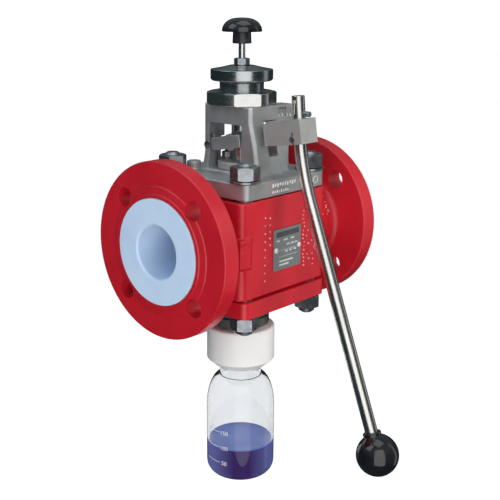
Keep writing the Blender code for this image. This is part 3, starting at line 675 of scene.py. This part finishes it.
def yoke():
    """The bonnet flange and the yoke's posts and top plate, cast in one."""
    slab = prism(rectangle((-BONNET[0], -BONNET[1]), BONNET, 7.0), BONNET_LOW.z, BONNET_TOP_Z)
    low, high, side = BONNET_TOP_Z - 3, YOKE_TOP_Z, YOKE_X
    front = [(low, 4.5, -46.0), (BONNET_TOP_Z + 2.5, 2.6, -42.3), (66.0, 1.6, -40.5), (SHELF_Z, 0.5, -38.2)]
    front += [(88.0, 0.1, -36.3), (97.0, 0.0, -33.8), (104.0, 0.0, -32.0), (110.5, 0.0, -30.5)]
    front.append((high, 0.0, -30.5))
    near_left = lofted([yoke_section(z, -side - grow, 13.9, 5.0, y, 3.0) for z, grow, y in front])
    rear = [(low, 4.5, 34.0), (BONNET_TOP_Z + 2.5, 2.6, 31.4), (SHELF_Z, 0.5, 30.6), (high, 0.0, 30.5)]
    back = lofted([yoke_section(z, -side - grow, side + grow, y, -12.0, 3.0) for z, grow, y in rear])
    post = [(low, 28.5, -40.0), (BONNET_TOP_Z + 2.5, 28.2, -37.5), (SHELF_Z, 32.0, -34.2)]
    post += [(88.0, 33.7, -32.8), (97.0, 34.8, -31.5), (104.0, 35.0, -30.8), (high - 0.6, 35.0, -30.4)]
    near_right = lofted([yoke_section(z, 4.0, right, -11.0, y, 2.0) for z, right, y in post])
    lug = box((20.0, -30.2, YOKE_PLATE_Z + 1.0), (42.0, -13.0, high - 0.9))
    boss = rod(7.0, BONNET_TOP_Z - 3, 69.0, 32, centre=(-27.0, 38.0, 0.0), edge=1.5)
    body = joined(slab, near_left, back, near_right, lug, boss)
    near, far = SIDE_WINDOW_Y
    tools = [
        box((-60, near, YOKE_FLOOR_Z), (60, far, YOKE_PLATE_Z)),
        box((FRONT_SLOT_X[0], -60, SHELF_Z), (FRONT_SLOT_X[1], -10, YOKE_PLATE_Z + 3.5)),
        box((-10.5, 10, 66), (REAR_SLOT_X[1], 27.5, YOKE_PLATE_Z)),
        box((6.0, 26.8, 90.9), (18.2, 60, 103.5)),
        box((REAR_SLOT_X[0], 10, 70), (REAR_SLOT_X[1], 60, 91)),
        rod(GLAND_POCKET_R, YOKE_FLOOR_Z, SHELF_Z + 1.5, 64),
        rod(CAP_BODY_R + GAP, 100, 130, 64),
        rod(PACKING_R + GAP, 48, 70, 48),
        rod(STEM_R + 0.5, 40, 60, 32),
        rod(PIVOT_R + 0.1, -30, 30, 24, "+X", PIVOT),
        rod(2.6, 12, 24, 24, "-Y", (-17.4, 40.0, 93.5)),
        box((19, -33, 110.5), (30, -27.8, 121)),
    ]
    tools += [rod(STUD_R + GAP, 40, 70, 24, centre=(x, y, 0)) for x, y in STUD_PLACES]
    body = cut(body, *tools)
    piece("yoke_casting", cast_skin(body, 0.72, 3, 0.35), CAST, "root", ["bonnet"],
          angle=50, weighted=False)


def yoke_marks():
    """Raised tally marks on the bonnet's front edge and in the lug's recess, near white as a painted
    highlight.
    """
    front = -BONNET[1]
    marks = []
    for index in range(10):
        height = (3.9, 3.2, 3.9, 2.6)[index % 4]
        x = -22.0 + index * 3.5
        marks.append(box((x, front - 0.45, 57.6 - height), (x + 1.5, front + 0.3, 57.6)))
    for index in range(8):
        x = -22.0 + index * 3.1
        marks.append(box((x, front - 0.4, 48.4), (x + 1.0, front + 0.3, 48.4 + (3.0, 2.1)[index % 2])))
    ring = turned(filleted([(2.9, 0, 0.1), (3.7, 0, 0.1), (3.7, 0.8, 0.2), (2.9, 0.8, 0.2)], 2), 32, "-Y")
    ring.transform(Matrix.Translation((42.0, front + 0.35, 53.0)))
    marks.append(ring)
    for index, (face, height) in enumerate(((-28.3, 2.6), (-28.3, 3.4), (-30.7, 3.0), (-30.7, 2.2))):
        x = 21.5 + index * 4.6
        marks.append(box((x, face, 112.4), (x + 1.1, face + 1.2, 112.4 + height)))
    piece("yoke_marks", bevelled(merged(*marks), 0.15, 1), HIGHLIGHT_STEEL, "root")


def stud_set():
    """Four studs with threaded ends, their washers and their nuts."""
    low, high = levels("stud_1")
    turns = ((0.2, 0.3), (0.55, 0.4), (0.24, 0.22), (0.62, 0.72))
    for number, (x, y), (upper, lower) in zip(range(1, 5), STUD_PLACES, turns):
        place = (x, y, 0)
        profile = [(0, low), (STUD_R - 2.6, low + 0.3), (STUD_R - 1.3, low + 1.4)]
        profile += thread(STUD_R - 0.1, low + 1.6, low + 19.6, 1.5, 0.7) + [(STUD_R, -64), (STUD_R, 58)]
        profile += thread(STUD_R - 0.1, 59.0, high - 1.6, 1.5, 0.7)
        profile += [(STUD_R - 1.3, high - 1.2), (STUD_R - 2.8, high - 0.2), (0, high)]
        piece(f"stud_thread_{number}", turned(profile, 48, centre=place), PLATED, "root",
              [f"stud_{number}"], angle=28)
        washer = tube(STUD_R + GAP, 14.5, *levels(f"washer_{number}"), 64, place, 0.35)
        piece(f"washer_ring_{number}", washer, PLATED, "root", [f"washer_{number}"])
        for name, node, turn in (("upper_nut", "top_nut", upper), ("lower_nut", "bottom_nut", lower)):
            nut = hex_nut(NUT_FLAT, STUD_R + 0.2, *levels(f"{node}_{number}"), place, turn)
            piece(f"{name}_{number}", nut, PLATED, "root", [f"{node}_{number}"], angle=25)


# ---------------------------------------------------------------- stem line


def gland_set():
    """The gland that presses the packing, with its two small bolts and nuts."""
    top = span("gland_follower")[1].z
    floor = YOKE_FLOOR_Z + GAP
    points = [(STEM_R + 0.5, 58.2), (PACKING_R, 58.2), (PACKING_R, floor), (23.0, floor, 0.6)]
    points += [(23.0, top, 0.8), (STEM_R + 0.5, top, 0.5)]
    holes = [rod(2.8, 55, 80, 24, centre=(0, y, 0)) for y in (19.0, -19.0)]
    piece("gland_ring", cut(turned(filleted(points), 72), *holes), GROUND, "root",
          ["gland_follower"])
    for number, y in ((1, 19.0), (2, -19.0)):
        low, high = levels(f"gland_bolt_{number}")
        profile = [(0, low), (2.5, low), (2.5, 70)] + thread(2.45, 70.2, high - 0.6, 0.9, 0.35)
        profile += [(1.6, high), (0, high)]
        piece(f"gland_stud_{number}", turned(profile, 24, centre=(0, y, 0)), PLATED, "root",
              [f"gland_bolt_{number}"])
        nut = hex_nut(4.5, 2.7, *levels(f"gland_nut_{number}"), (0, y, 0), 0.3)
        piece(f"gland_hex_{number}", nut, PLATED, "root", [f"gland_nut_{number}"])


def stem_set():
    """The moving pieces on the stem axis, from the collar to the mushroom knob."""
    low, high = levels("stem")
    shaft = [(0, low), (STEM_R, low, 0.4), (STEM_R, 92, 0.2), (STEM_R - 0.5, 92.5), (STEM_R - 0.5, 96.0)]
    shaft += [(STEM_R, 96.5, 0.2), (STEM_R, high, 0.5), (0, high)]
    piece("stem_shaft", turned(filleted(shaft, 3), 64), POLISHED, "stem_body", ["stem"])
    for name, node, edge in (("collar_ring", "stem_collar", 0.8), ("spring_washer", "spring_plate", 0.4)):
        ring = tube(STEM_R + GAP, span(node)[1].x, *levels(node), 64, edge=edge)
        piece(name, ring, TURNED, "stem_body", [node])
    low, high = levels("lift_rod")
    profile = [(0, low), (ROD_R, low, 0.3), (ROD_R, high, 0.3), (0, high)]
    piece("lift_rod_bar", turned(filleted(profile, 2), 48), POLISHED, "stem_body",
          ["lift_rod"])
    nut = hex_nut(6.5, ROD_R + 0.2, *levels("stop_nut"), (0, 0, 0), 0.18)
    piece("stop_hex", nut, PLATED, "stem_body", ["stop_nut"], angle=25)


def mushroom():
    """The pull knob: a domed head with an undercut rim over a short ribbed neck."""
    neck = [(ROD_R + 0.1, 181.0), (9.1, 181.0, 0.7), (8.5, 192.6), (ROD_R + 0.1, 192.6)]
    piece("knob_neck", turned(filleted(neck, 4)), BLACK_RIBBED, "stem_body",
          ["mushroom_knob"])
    rim, steps = 192.0, 14
    head = [(0, rim + 1.6), (9.0, rim + 1.6), (14.5, rim + 1.3), (17.6, rim + 0.2), (18.6, rim - 0.1)]
    base, rise = rim + 0.6, KNOB_TOP_Z - rim - 0.6
    for step in range(steps + 1):
        angle = math.pi / 2 * step / steps
        radius = 19.0 * math.cos(angle) ** 0.72 if step < steps else 0.0
        head.append((radius, base + rise * math.sin(angle) ** 1.05))
    piece("knob_head", turned(head), BLACK, "stem_body", ["mushroom_knob"], angle=50)


def spring_cap_set():
    """The threaded cap over the spring, its lock nut and the closing spring."""
    low, top = levels("spring_cap")
    disk_low, disk_high = CAP_DISK_Z
    profile = [(15.5, low), (CAP_BODY_R, low), (CAP_BODY_R, YOKE_TOP_Z + 0.2)]
    profile.append((CAP_THREAD_R - 0.6, YOKE_TOP_Z + GAP))
    profile += thread(CAP_THREAD_R, YOKE_TOP_Z + 1.0, disk_low - 2.9, 1.15, 0.45)
    profile += [(CAP_THREAD_R - 1.2, disk_low - 2.2), (CAP_THREAD_R - 1.2, disk_low - 1.4)]
    rim = [(CAP_DISK_R - 1.4, disk_low - 1.4, 0.4), (CAP_DISK_R, disk_low, 0.5), (CAP_DISK_R, disk_high, 0.6)]
    rim += [(CAP_DISK_R - 1.6, disk_high + 0.25), (21.0, disk_high + 1.55), (12.0, top, 0.4), (8.3, top, 0.3)]
    rim += [(8.3, 146.0), (15.5, 146.0)]
    piece("cap_body", turned(filleted(profile + rim), PIPE_STEPS), TURNED, "root",
          ["spring_cap"], angle=28)
    low, high = levels("lock_nut")
    barrel = [(CAP_THREAD_R + 0.4, low), (LOCK_NUT_R - 0.8, low), (LOCK_NUT_R, low + 0.8)]
    barrel += [(LOCK_NUT_R, high - 1.2), (LOCK_NUT_R - 1.0, high - 0.5), (LOCK_NUT_R - 3.4, high)]
    barrel += [(CAP_THREAD_R + 1.4, high), (CAP_THREAD_R + 0.4, high - 1.0)]
    flats = polygon(6, LOCK_NUT_FLAT / math.cos(math.pi / 6), math.radians(22.5))
    nut = common(turned(barrel, 144), prism(flats, low - 5, high + 5))
    piece("lock_hex", bevelled(nut, 0.3, 2, 15.0), MACHINED, "root", ["lock_nut"], angle=12)
    low, high = levels("spring")
    start, rise = low + SPRING_WIRE_R, high - low - 2 * SPRING_WIRE_R
    path = []
    count = SPRING_TURNS * 32
    for step in range(count + 1):
        angle = 2 * math.pi * SPRING_TURNS * step / count
        level = start + rise * step / count
        path.append((SPRING_R * math.cos(angle), SPRING_R * math.sin(angle), level))
    piece("spring_coil", swept(path, SPRING_WIRE_R, 12, (0, 0, 1)), TURNED, "root",
          ["spring"], weighted=False, angle=60)


# ---------------------------------------------------------------- rocker and lever


def tilted(corners, tilt, start, low, high):
    """A prism along X, its corners given as (distance along, distance above) the line of a tilted arm."""
    points = []
    for along, above in corners:
        y = start[0] - along * math.cos(tilt) + above * math.sin(tilt)
        points.append((y, start[1] + along * math.sin(tilt) + above * math.cos(tilt)))
    return prism(points, low, high, "X")


def rocker_set():
    """The rocker in the yoke, cast with the ground block that grips the lever rod."""
    arm = (ROCKER_TILT, PIVOT[1:])
    half, reach = ROCKER_HALF, ROCKER_REACH
    corners = [(6.0, 1.5 - half), (8.0, -half), (reach, -half), (reach, half), (8.0, half), (6.0, half - 2.5)]
    bar = tilted(corners, *arm, -ROCKER_X, ROCKER_X)
    cam = rod(CAM_R, 0.2 - ROCKER_X, ROCKER_X - 0.2, 48, "+X", (0, *CAM_CENTRE))
    eye = [(0.0, -5.5), (12.0, -5.5), (12.0, 5.5), (0.0, 5.5)]
    angles = [math.radians(15 * step) for step in range(1, 12)]
    eye += [(-5.5 * math.sin(angle), 5.5 * math.cos(angle)) for angle in angles]
    tongue = tilted(eye, *arm, REAR_SLOT_X[0] + 0.6, REAR_SLOT_X[1] - 0.6)
    neck = tilted([(42.0, -5.8), (70.0, -5.8), (70.0, -1.0), (42.0, 4.0)], *arm, *ROCKER_NECK_X)
    body = joined(bar, cam, tongue)
    body = joined(cut(body, box((-8.5, -14.0, 60), (8.5, 11.0, 120))), neck)
    body = cut(body, rod(PIVOT_R + 0.1, -30, 30, 32, "+X", PIVOT))
    piece("rocker_arm", cast_skin(body, 0.6, 3, 0.4), CAST, "lever_body", ["rocker"],
          angle=50, weighted=False)
    arm = (BLOCK_TILT, LEVER_BLOCK_START)
    length, half, side = LEVER_BLOCK_LENGTH, LEVER_BLOCK_HALF, LEVER_BLOCK_X
    corners = [(0.0, -half), (length, -half), (length, half), (4.0, half), (0.0, half - 4.0)]
    block = tilted(corners, *arm, -side, side)
    bore = swept([(0, *LEVER_TOP), (0, *LEVER_BEND[0])], LEVER_R + 0.15, 48)
    screw_hole = rod(SCREW_R + 0.25, 5, 20, 32, "-X", (0, *SCREW_PLACE))
    corners = [(32.0, -half - 1), (35.0, -half - 1), (34.6, 0.0), (32.4, 0.0)]
    slot = tilted(corners, *arm, -side - 1, -6.0)
    block = bevelled(cut(block, bore, screw_hole, slot), 0.7, 3)
    piece("rocker_block", block, GROUND, "lever_body", ["rocker"])


def lever_path(steps):
    """The rod's centre line: straight through the block, one smooth bend, then straight to the ball."""
    upper, control, lower = (Vector((0, *point)) for point in LEVER_BEND)
    top, foot = Vector((0, *LEVER_TOP)), Vector((0, *LEVER_FOOT))
    path = [top.lerp(upper, share) for share in (0.0, 0.004, 0.012, 0.03, 0.5)]
    for step in range(steps + 1):
        share = step / steps
        path.append(upper.lerp(control, share).lerp(control.lerp(lower, share), share))
    return path + [lower.lerp(foot, share) for share in (0.25, 0.5, 0.75, 1.0)]


def lever_set():
    """The polished rod with its screw and cross pin, the pivot pin and the ball."""
    path = lever_path(18)
    sizes = [LEVER_R - 0.9, LEVER_R - 0.35, LEVER_R - 0.1, LEVER_R] + [LEVER_R] * (len(path) - 4)
    top, bend = Vector(LEVER_TOP), Vector(LEVER_BEND[0])
    pin_y = top.lerp(bend, (top.y - CROSS_PIN_Z) / (top.y - bend.y)).x
    bar = swept(path, sizes, 64)
    eye = rod(1.9, LEVER_R - 3.5, LEVER_R + 2, 32, "-X", (0, top.x - 0.4, top.y - 5.6))
    groove = box((-LEVER_R - 1, top.x - 1.4, top.y - 17.0), (-LEVER_R + 1.0, top.x - 0.2, top.y - 6.0))
    bar = cut(bar, eye, groove, rod(2.65, -20, 20, 32, "-Y", (0, pin_y, CROSS_PIN_Z)))
    piece("lever_bar", bevelled(bar, 0.15, 1, 40.0), POLISHED, "lever_body", ["lever_rod"])
    pin = rod(2.5, -6.0, 13.0, 32, "-Y", (0, pin_y, CROSS_PIN_Z), 0.7)
    piece("cross_pin_bar", pin, PLATED, "lever_body", ["cross_pin"])
    inner, outer = LEVER_R + 0.5, LEVER_BLOCK_X - 0.4
    profile = [(0, inner), (SCREW_R, inner), (SCREW_R, outer, 0.4), (1.9, outer, 0.2), (1.5, outer - 2.4)]
    profile += [(0, outer - 2.8)]
    piece("socket_screw", turned(filleted(profile, 3), 32, "-X", (0, *SCREW_PLACE)), PLATED, "lever_body",
          ["set_screw"])
    low, high = span("pivot_pin")
    piece("pivot_bar", rod(PIVOT_R, low.x, high.x, 48, "+X", PIVOT, 0.6), TURNED, "root",
          ["pivot_pin"])
    foot = math.dist(LEVER_FOOT, BALL_CENTRE)
    outline = []
    steps, neck = 28, 8.6
    for step in range(steps + 1):
        angle = -math.pi / 2 + (math.pi / 2 + math.acos(neck / BALL_R)) * step / steps
        outline.append((BALL_R * math.cos(angle) if step else 0.0, BALL_R * math.sin(angle)))
    collar = outline[-1][1]
    outline += [(neck - 0.3, collar + 0.5), (neck - 0.3, collar + 1.2), (neck, collar + 1.6)]
    outline += [(neck, collar + 3.2), (neck - 0.8, collar + 4.0), (LEVER_R + 0.1, collar + 4.0)]
    outline += [(LEVER_R + 0.1, foot), (0, foot)]
    ball = turned(outline, ROUND_STEPS)
    direction = Vector((0, LEVER_FOOT[0] - BALL_CENTRE[0], LEVER_FOOT[1] - BALL_CENTRE[1]))
    turn = Vector((0, 0, 1)).rotation_difference(direction).to_matrix().to_4x4()
    ball.transform(Matrix.Translation((0, *BALL_CENTRE)) @ turn)
    piece("ball_grip", ball, BLACK, "lever_body", ["ball_knob"], angle=50)


# ---------------------------------------------------------------- plate, outlet, bottle


def plate_set():
    """The blank rating plate: a dark band, empty fields and two round-headed rivets."""
    low, high = span("name_plate")
    x, z = PLATE_CENTRE
    face = low.y
    sheet = prism(rectangle((low.x, low.z), (high.x, high.z), 1.2), low.y, high.y, "Y")
    holes = [rod(1.6, 50, 60, 24, "-Y", (x + side * RIVET_X, 0, z)) for side in (-1, 1)]
    piece("plate_sheet", bevelled(cut(sheet, *holes), 0.2, 2), PLATE, "root", ["name_plate"])
    band = box((x - 16.5, face - 0.12, z + 12.2), (x + 16.5, face + 0.2, z + 17.2))
    piece("plate_band", band, PLATE_BAND, "root")
    fields = []
    rows = ((8.0, ((-16, -12), (-6, 0), (5, 10))), (3.0, ((-1, 3), (5, 9), (11, 15))),
            (-3.5, ((-3, 0), (3, 6), (9, 13))), (-12.5, ((-12, 8),)), (-16.0, ((-12, 2),)))
    for level, bars in rows:
        for start, end in bars:
            fields.append(box((x + start, face - 0.12, z + level), (x + end, face + 0.2, z + level + 1.5)))
    for level in (-1.2, -7.4):
        fields.append(box((x - 13, face - 0.1, z + level), (x + 15, face + 0.2, z + level + 0.35)))
    piece("plate_fields", merged(*fields), PLATE_MARK, "root")
    for number, side in ((1, -1), (2, 1)):
        outer = -span(f"rivet_{number}")[0].y
        profile = [(0, 51), (1.5, 51), (1.5, outer - 0.9), (2.6, outer - 0.9), (2.5, outer - 0.5)]
        profile += [(2.0, outer - 0.15), (1.1, outer), (0, outer + 0.05)]
        head = turned(profile, 32, "-Y", (x + side * RIVET_X, 0, z))
        # The rivet heads are near white as a painted highlight.
        piece(f"rivet_head_{number}", head, HIGHLIGHT_STEEL, "root", [f"rivet_{number}"], angle=50)


def outlet_set():
    """The spout with its faceted union and the white adapter that takes the bottle."""
    low, high = UNION_Z
    pipe = tube(OUTLET_R, SPOUT_R, *levels("outlet_spout"), 72)
    facets = prism(polygon(8, UNION_R, math.radians(26.6)), low + 10.0, high - 1.5)
    barrel = rod(UNION_R * 0.985, low + 9.0, high, 96, edge=1.2)
    collar = rod(UNION_R - 1.0, low, low + 9.0, 96, edge=0.8)
    union = joined(common(facets, barrel), collar, rod(UNION_R - 2.5, high - 3.0, high, 96))
    union = cut(union, rod(SPOUT_R - 0.1, low - 5, high + 5, 72))
    # The union's darker steel is painted shade under the body.
    piece("outlet_union", bevelled(union, 0.5, 2, 25.0), SHADED_STEEL, "root", ["outlet_spout"])
    piece("outlet_pipe", pipe, TURNED, "root", ["outlet_spout"])
    base, top = ADAPTER_Z
    socket_r, socket_top = MOUTH_R + GAP, -119.5
    shape = [(SPOUT_R + GAP, top), (ADAPTER_R - 0.2, top, 2.2), (ADAPTER_R, base + 8.0, 1.5)]
    shape += [(ADAPTER_R - 9.5, base, 1.6), (socket_r, base, 0.5), (socket_r, socket_top)]
    shape.append((SPOUT_R + GAP, socket_top))
    piece("adapter_body", turned(filleted(shape, 6), PIPE_STEPS), WHITE, "root",
          ["bottle_adapter"])


def bottle_outline(inset):
    """The bottle's outside from mouth to base, drawn in by inset."""
    base, mouth = BOTTLE_Z
    points = [(MOUTH_R, mouth), (MOUTH_R, -134.5), (22.1, -135.6), (20.3, -137.2), (20.0, -138.6)]
    points += [(20.0, -140.0), (20.6, -141.2), (21.2, -142.0), (20.9, -143.0), (20.7, -144.2), (21.4, -149.0)]
    for step in range(15):
        share = step / 14
        angle = math.pi / 2 * share
        points.append((21.6 + 13.4 * math.sin(angle) ** 1.1, -150.5 - 35.5 * (1 - math.cos(angle))))
    corner = 14.0
    for step in range(11):
        angle = math.pi / 2 * step / 10
        radius = BOTTLE_R - corner + (corner - inset) * math.cos(angle)
        points.append((radius + inset, base + corner - (corner - inset) * math.sin(angle)))
    return [(radius - inset, height) for radius, height in points]


def bottle_set():
    """The glass bottle, the sample in it and the printed scale."""
    base = BOTTLE_Z[0]
    outside = bottle_outline(0.0) + [(17.0, base), (14.5, base + 1.3), (8.0, base + 2.0), (0, base + 2.2)]
    inside = [(0, base + 5.0), (10.0, base + 4.7)] + list(reversed(bottle_outline(BOTTLE_WALL)[:-1]))
    piece("bottle_glass", turned(outside + inside, PIPE_STEPS), GLASS, "bottle_body", ["bottle"],
          angle=60, weighted=False)
    wall, level = BOTTLE_R - BOTTLE_WALL + FILM, LIQUID_Z
    outline = [(0, base + 5.1), (10.0, base + 4.8)]
    inner = reversed(bottle_outline(BOTTLE_WALL - FILM)[:-1])
    outline += [point for point in inner if point[1] < level - 1.5]
    outline += [(wall, level - 1.0), (wall, level + 0.5), (wall - 0.9, level), (wall - 2.4, level - 0.35)]
    outline.append((0, level - 0.4))
    shape = turned(outline, PIPE_STEPS)
    # The top faces take the lighter blue of the painted reflection.
    for face in shape.faces:
        if face.calc_center_median().z > level - 0.45:
            face.material_index = 1
    piece("sample_liquid", shape, SAMPLE, "bottle_body", ["liquid"], angle=40, weighted=False,
          extra=(LIQUID_TOP_SHEEN,))
    bottle_scale()


def bottle_scale():
    """The white printed scale: 50, 100 and 150 with a line beside each, laid round the glass."""
    radius = BOTTLE_R + 0.05
    marks = []
    for text, level in (("50", -238.5), ("100", -221.6), ("150", -204.8)):
        curve = bpy.data.curves.new("digits", "FONT")
        curve.body = text
        curve.size = 6.3
        curve.align_x = curve.align_y = "CENTER"
        curve.extrude = 0.06
        holder = put_in_scene("digits", curve)
        graph = bpy.context.evaluated_depsgraph_get()
        mesh = bpy.data.meshes.new_from_object(holder.evaluated_get(graph))
        digits = bmesh.new()
        digits.from_mesh(mesh)
        for vertex in digits.verts:
            vertex.co = wrapped(math.radians(-76.5), level, vertex.co.x, vertex.co.y, vertex.co.z + radius)
        bpy.data.objects.remove(holder, do_unlink=True)
        bpy.data.meshes.remove(mesh)
        steps, near, far = 14, radius - 0.03, radius + 0.09
        rings = []
        for step in range(steps + 1):
            angle = math.radians(-116 + 31 * step / steps)
            corners = ((-0.28, near), (0.28, near), (0.28, far), (-0.28, far))
            rings.append([wrapped(angle, level + 0.6, 0, rise, reach) for rise, reach in corners])
        marks += [digits, lofted(rings)]
    piece("bottle_scale", merged(*marks), ENAMEL, "bottle_body", angle=30, weighted=False)


def wrapped(angle, level, along, rise, reach):
    """A point laid on the bottle: angle from -Y towards +X, then a distance along, up and out."""
    turn = angle + along / BOTTLE_R
    return Vector((reach * math.sin(turn), -reach * math.cos(turn), level + rise))


# ---------------------------------------------------------------- what stays from the CAD


def keep_cad_nodes():
    """Inner pieces keep their CAD shape and get a finish of their own."""
    finishes = {
        WHITE: ("seat_ring", "cover_gasket", "bonnet_gasket", "bottle_seal", "rod_bush"),
        LINER: ("plug_head",),
        BRAID: ("packing_ring_1", "packing_ring_2", "packing_ring_3"),
    }
    for finish, names in finishes.items():
        for name in names:
            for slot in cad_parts[name].material_slots:
                slot.material = finish


# ---------------------------------------------------------------- stage, light and camera


def stage():
    """A plain pale studio: an evenly bright floor that runs up into a dome, hidden from reflections."""
    radius, level = 12.0, -0.275
    profile = [(0.0, level), (4.0, level), (8.0, level)]
    for step in range(13):
        angle = math.pi / 2 * step / 12
        profile.append((8.0 + 4.0 * math.sin(angle), level + 4.0 * (1 - math.cos(angle))))
    profile += [(radius, 7.0), (9.0, 12.0), (4.0, 14.5), (0.0, 15.0)]
    bm = bmesh.new()
    angles = [2 * math.pi * step / 64 for step in range(64)]
    rings = [[bm.verts.new((r * math.cos(a), r * math.sin(a), z)) for a in angles] for r, z in profile[1:-1]]
    for near, far in zip(rings, rings[1:]):
        for step in range(64):
            after = (step + 1) % 64
            bm.faces.new([near[step], near[after], far[after], far[step]])
    bm.faces.new(rings[0])
    bm.faces.new(rings[-1])
    mesh = mesh_from("floor", bm)
    mesh.shade_smooth()
    finish = Finish("floor", Emission_Strength=1.0)
    finish.shader.inputs["Emission Color"].default_value = (1.0, 1.0, 1.0, 1.0)
    finish.colour(finish.noise(2.0, 2.0), (0.86, 0.86, 0.86), (0.88, 0.88, 0.88))
    finish.rough(finish.noise(3.0, 2.0), 0.85, 0.95)
    mesh.materials.append(finish.material)
    floor = put_in_scene("floor", mesh)
    floor.visible_glossy = False
    floor.visible_shadow = False
    floor.visible_diffuse = False


def softbox(name, azimuth, height, distance, size, power, colour=(1.0, 1.0, 1.0), mirrored=True):
    """A soft rectangular light at an azimuth from +X, aimed at the valve, seen in reflections if mirrored."""
    light = bpy.data.lights.new(name, "AREA")
    light.shape = "RECTANGLE"
    light.size, light.size_y = size
    light.energy = power
    light.color = colour
    made = put_in_scene(name, light)
    angle = math.radians(azimuth)
    made.location = (distance * math.cos(angle), distance * math.sin(angle), height)
    aim = Vector((0, 0, 0)) - made.location
    made.rotation_euler = aim.to_track_quat("-Z", "Y").to_euler()
    made.visible_camera = False
    made.visible_glossy = mirrored
    made.visible_transmission = False


def lights():
    softbox("front", 230, 0.10, 1.5, (1.55, 2.6), 16.0, (1.0, 0.99, 0.98))
    softbox("key", 290, 0.60, 1.6, (1.0, 1.2), 15.5, (1.0, 0.98, 0.96), mirrored=False)
    softbox("right_strip", 320, 0.0, 1.5, (0.5, 2.4), 1.6)
    softbox("left_high", 150, 1.2, 1.2, (1.0, 1.0), 4.5, (0.72, 0.87, 1.0))
    softbox("left_fill", 185, 0.3, 1.6, (1.0, 1.6), 4.2, (0.72, 0.88, 1.0), mirrored=False)
    softbox("low_fill", 212, -0.7, 1.2, (1.0, 0.8), 6.0, mirrored=False)
    softbox("back_fill", 60, 1.0, 1.8, (1.0, 1.2), 9.0, mirrored=False)
    softbox("top", 270, 1.6, 0.2, (1.2, 1.2), 4.5)
    world = bpy.data.worlds.new("studio")
    bpy.context.scene.world = world
    world.use_nodes = True
    nodes, links = world.node_tree.nodes, world.node_tree.links
    background = nodes["Background"]
    direction = nodes.new("ShaderNodeTexCoord")
    split = nodes.new("ShaderNodeSeparateXYZ")
    ramp = nodes.new("ShaderNodeValToRGB")
    stretch = nodes.new("ShaderNodeMapRange")
    stretch.inputs["From Min"].default_value = -1.0
    links.new(direction.outputs["Generated"], split.inputs["Vector"])
    links.new(split.outputs["Z"], stretch.inputs["Value"])
    links.new(stretch.outputs["Result"], ramp.inputs["Fac"])
    links.new(ramp.outputs["Color"], background.inputs["Color"])
    elements = ramp.color_ramp.elements
    elements[0].position, elements[0].color = 0.54, (0.022, 0.034, 0.035, 1.0)
    elements[1].position, elements[1].color = 0.80, (0.20, 0.225, 0.235, 1.0)
    background.inputs["Strength"].default_value = 1.0


def camera():
    """The camera stands in front, left of the lever and a little above."""
    azimuth, elevation, roll = math.radians(48.45), math.radians(15.11), math.radians(0.38)
    right = Vector((math.cos(azimuth), -math.sin(azimuth), 0.0))
    ahead = Vector((math.sin(azimuth) * math.cos(elevation), math.cos(azimuth) * math.cos(elevation),
                    -math.sin(elevation)))
    upward = right.cross(ahead)
    across = right * math.cos(roll) + upward * math.sin(roll)
    top = upward * math.cos(roll) - right * math.sin(roll)
    data = bpy.data.cameras.new("camera")
    data.lens = 69.41
    data.sensor_width = 36.0
    data.clip_end = 100.0
    made = put_in_scene("camera", data)
    made.matrix_world = Matrix((across, top, -ahead)).transposed().to_4x4()
    made.location = Vector((-0.6867, -0.6204, 0.2297))
    bpy.context.scene.camera = made


casting_block()
flange("flange_inlet", -1)
flange("flange_outlet", 1)
liner()
cover()
foundry_pips()
yoke()
yoke_marks()
stud_set()
gland_set()
stem_set()
mushroom()
spring_cap_set()
rocker_set()
lever_set()
plate_set()
outlet_set()
bottle_set()
keep_cad_nodes()
stage()
lights()
camera()
bpy.context.scene.view_settings.view_transform = "Standard"

bpy.context.view_layer.update()
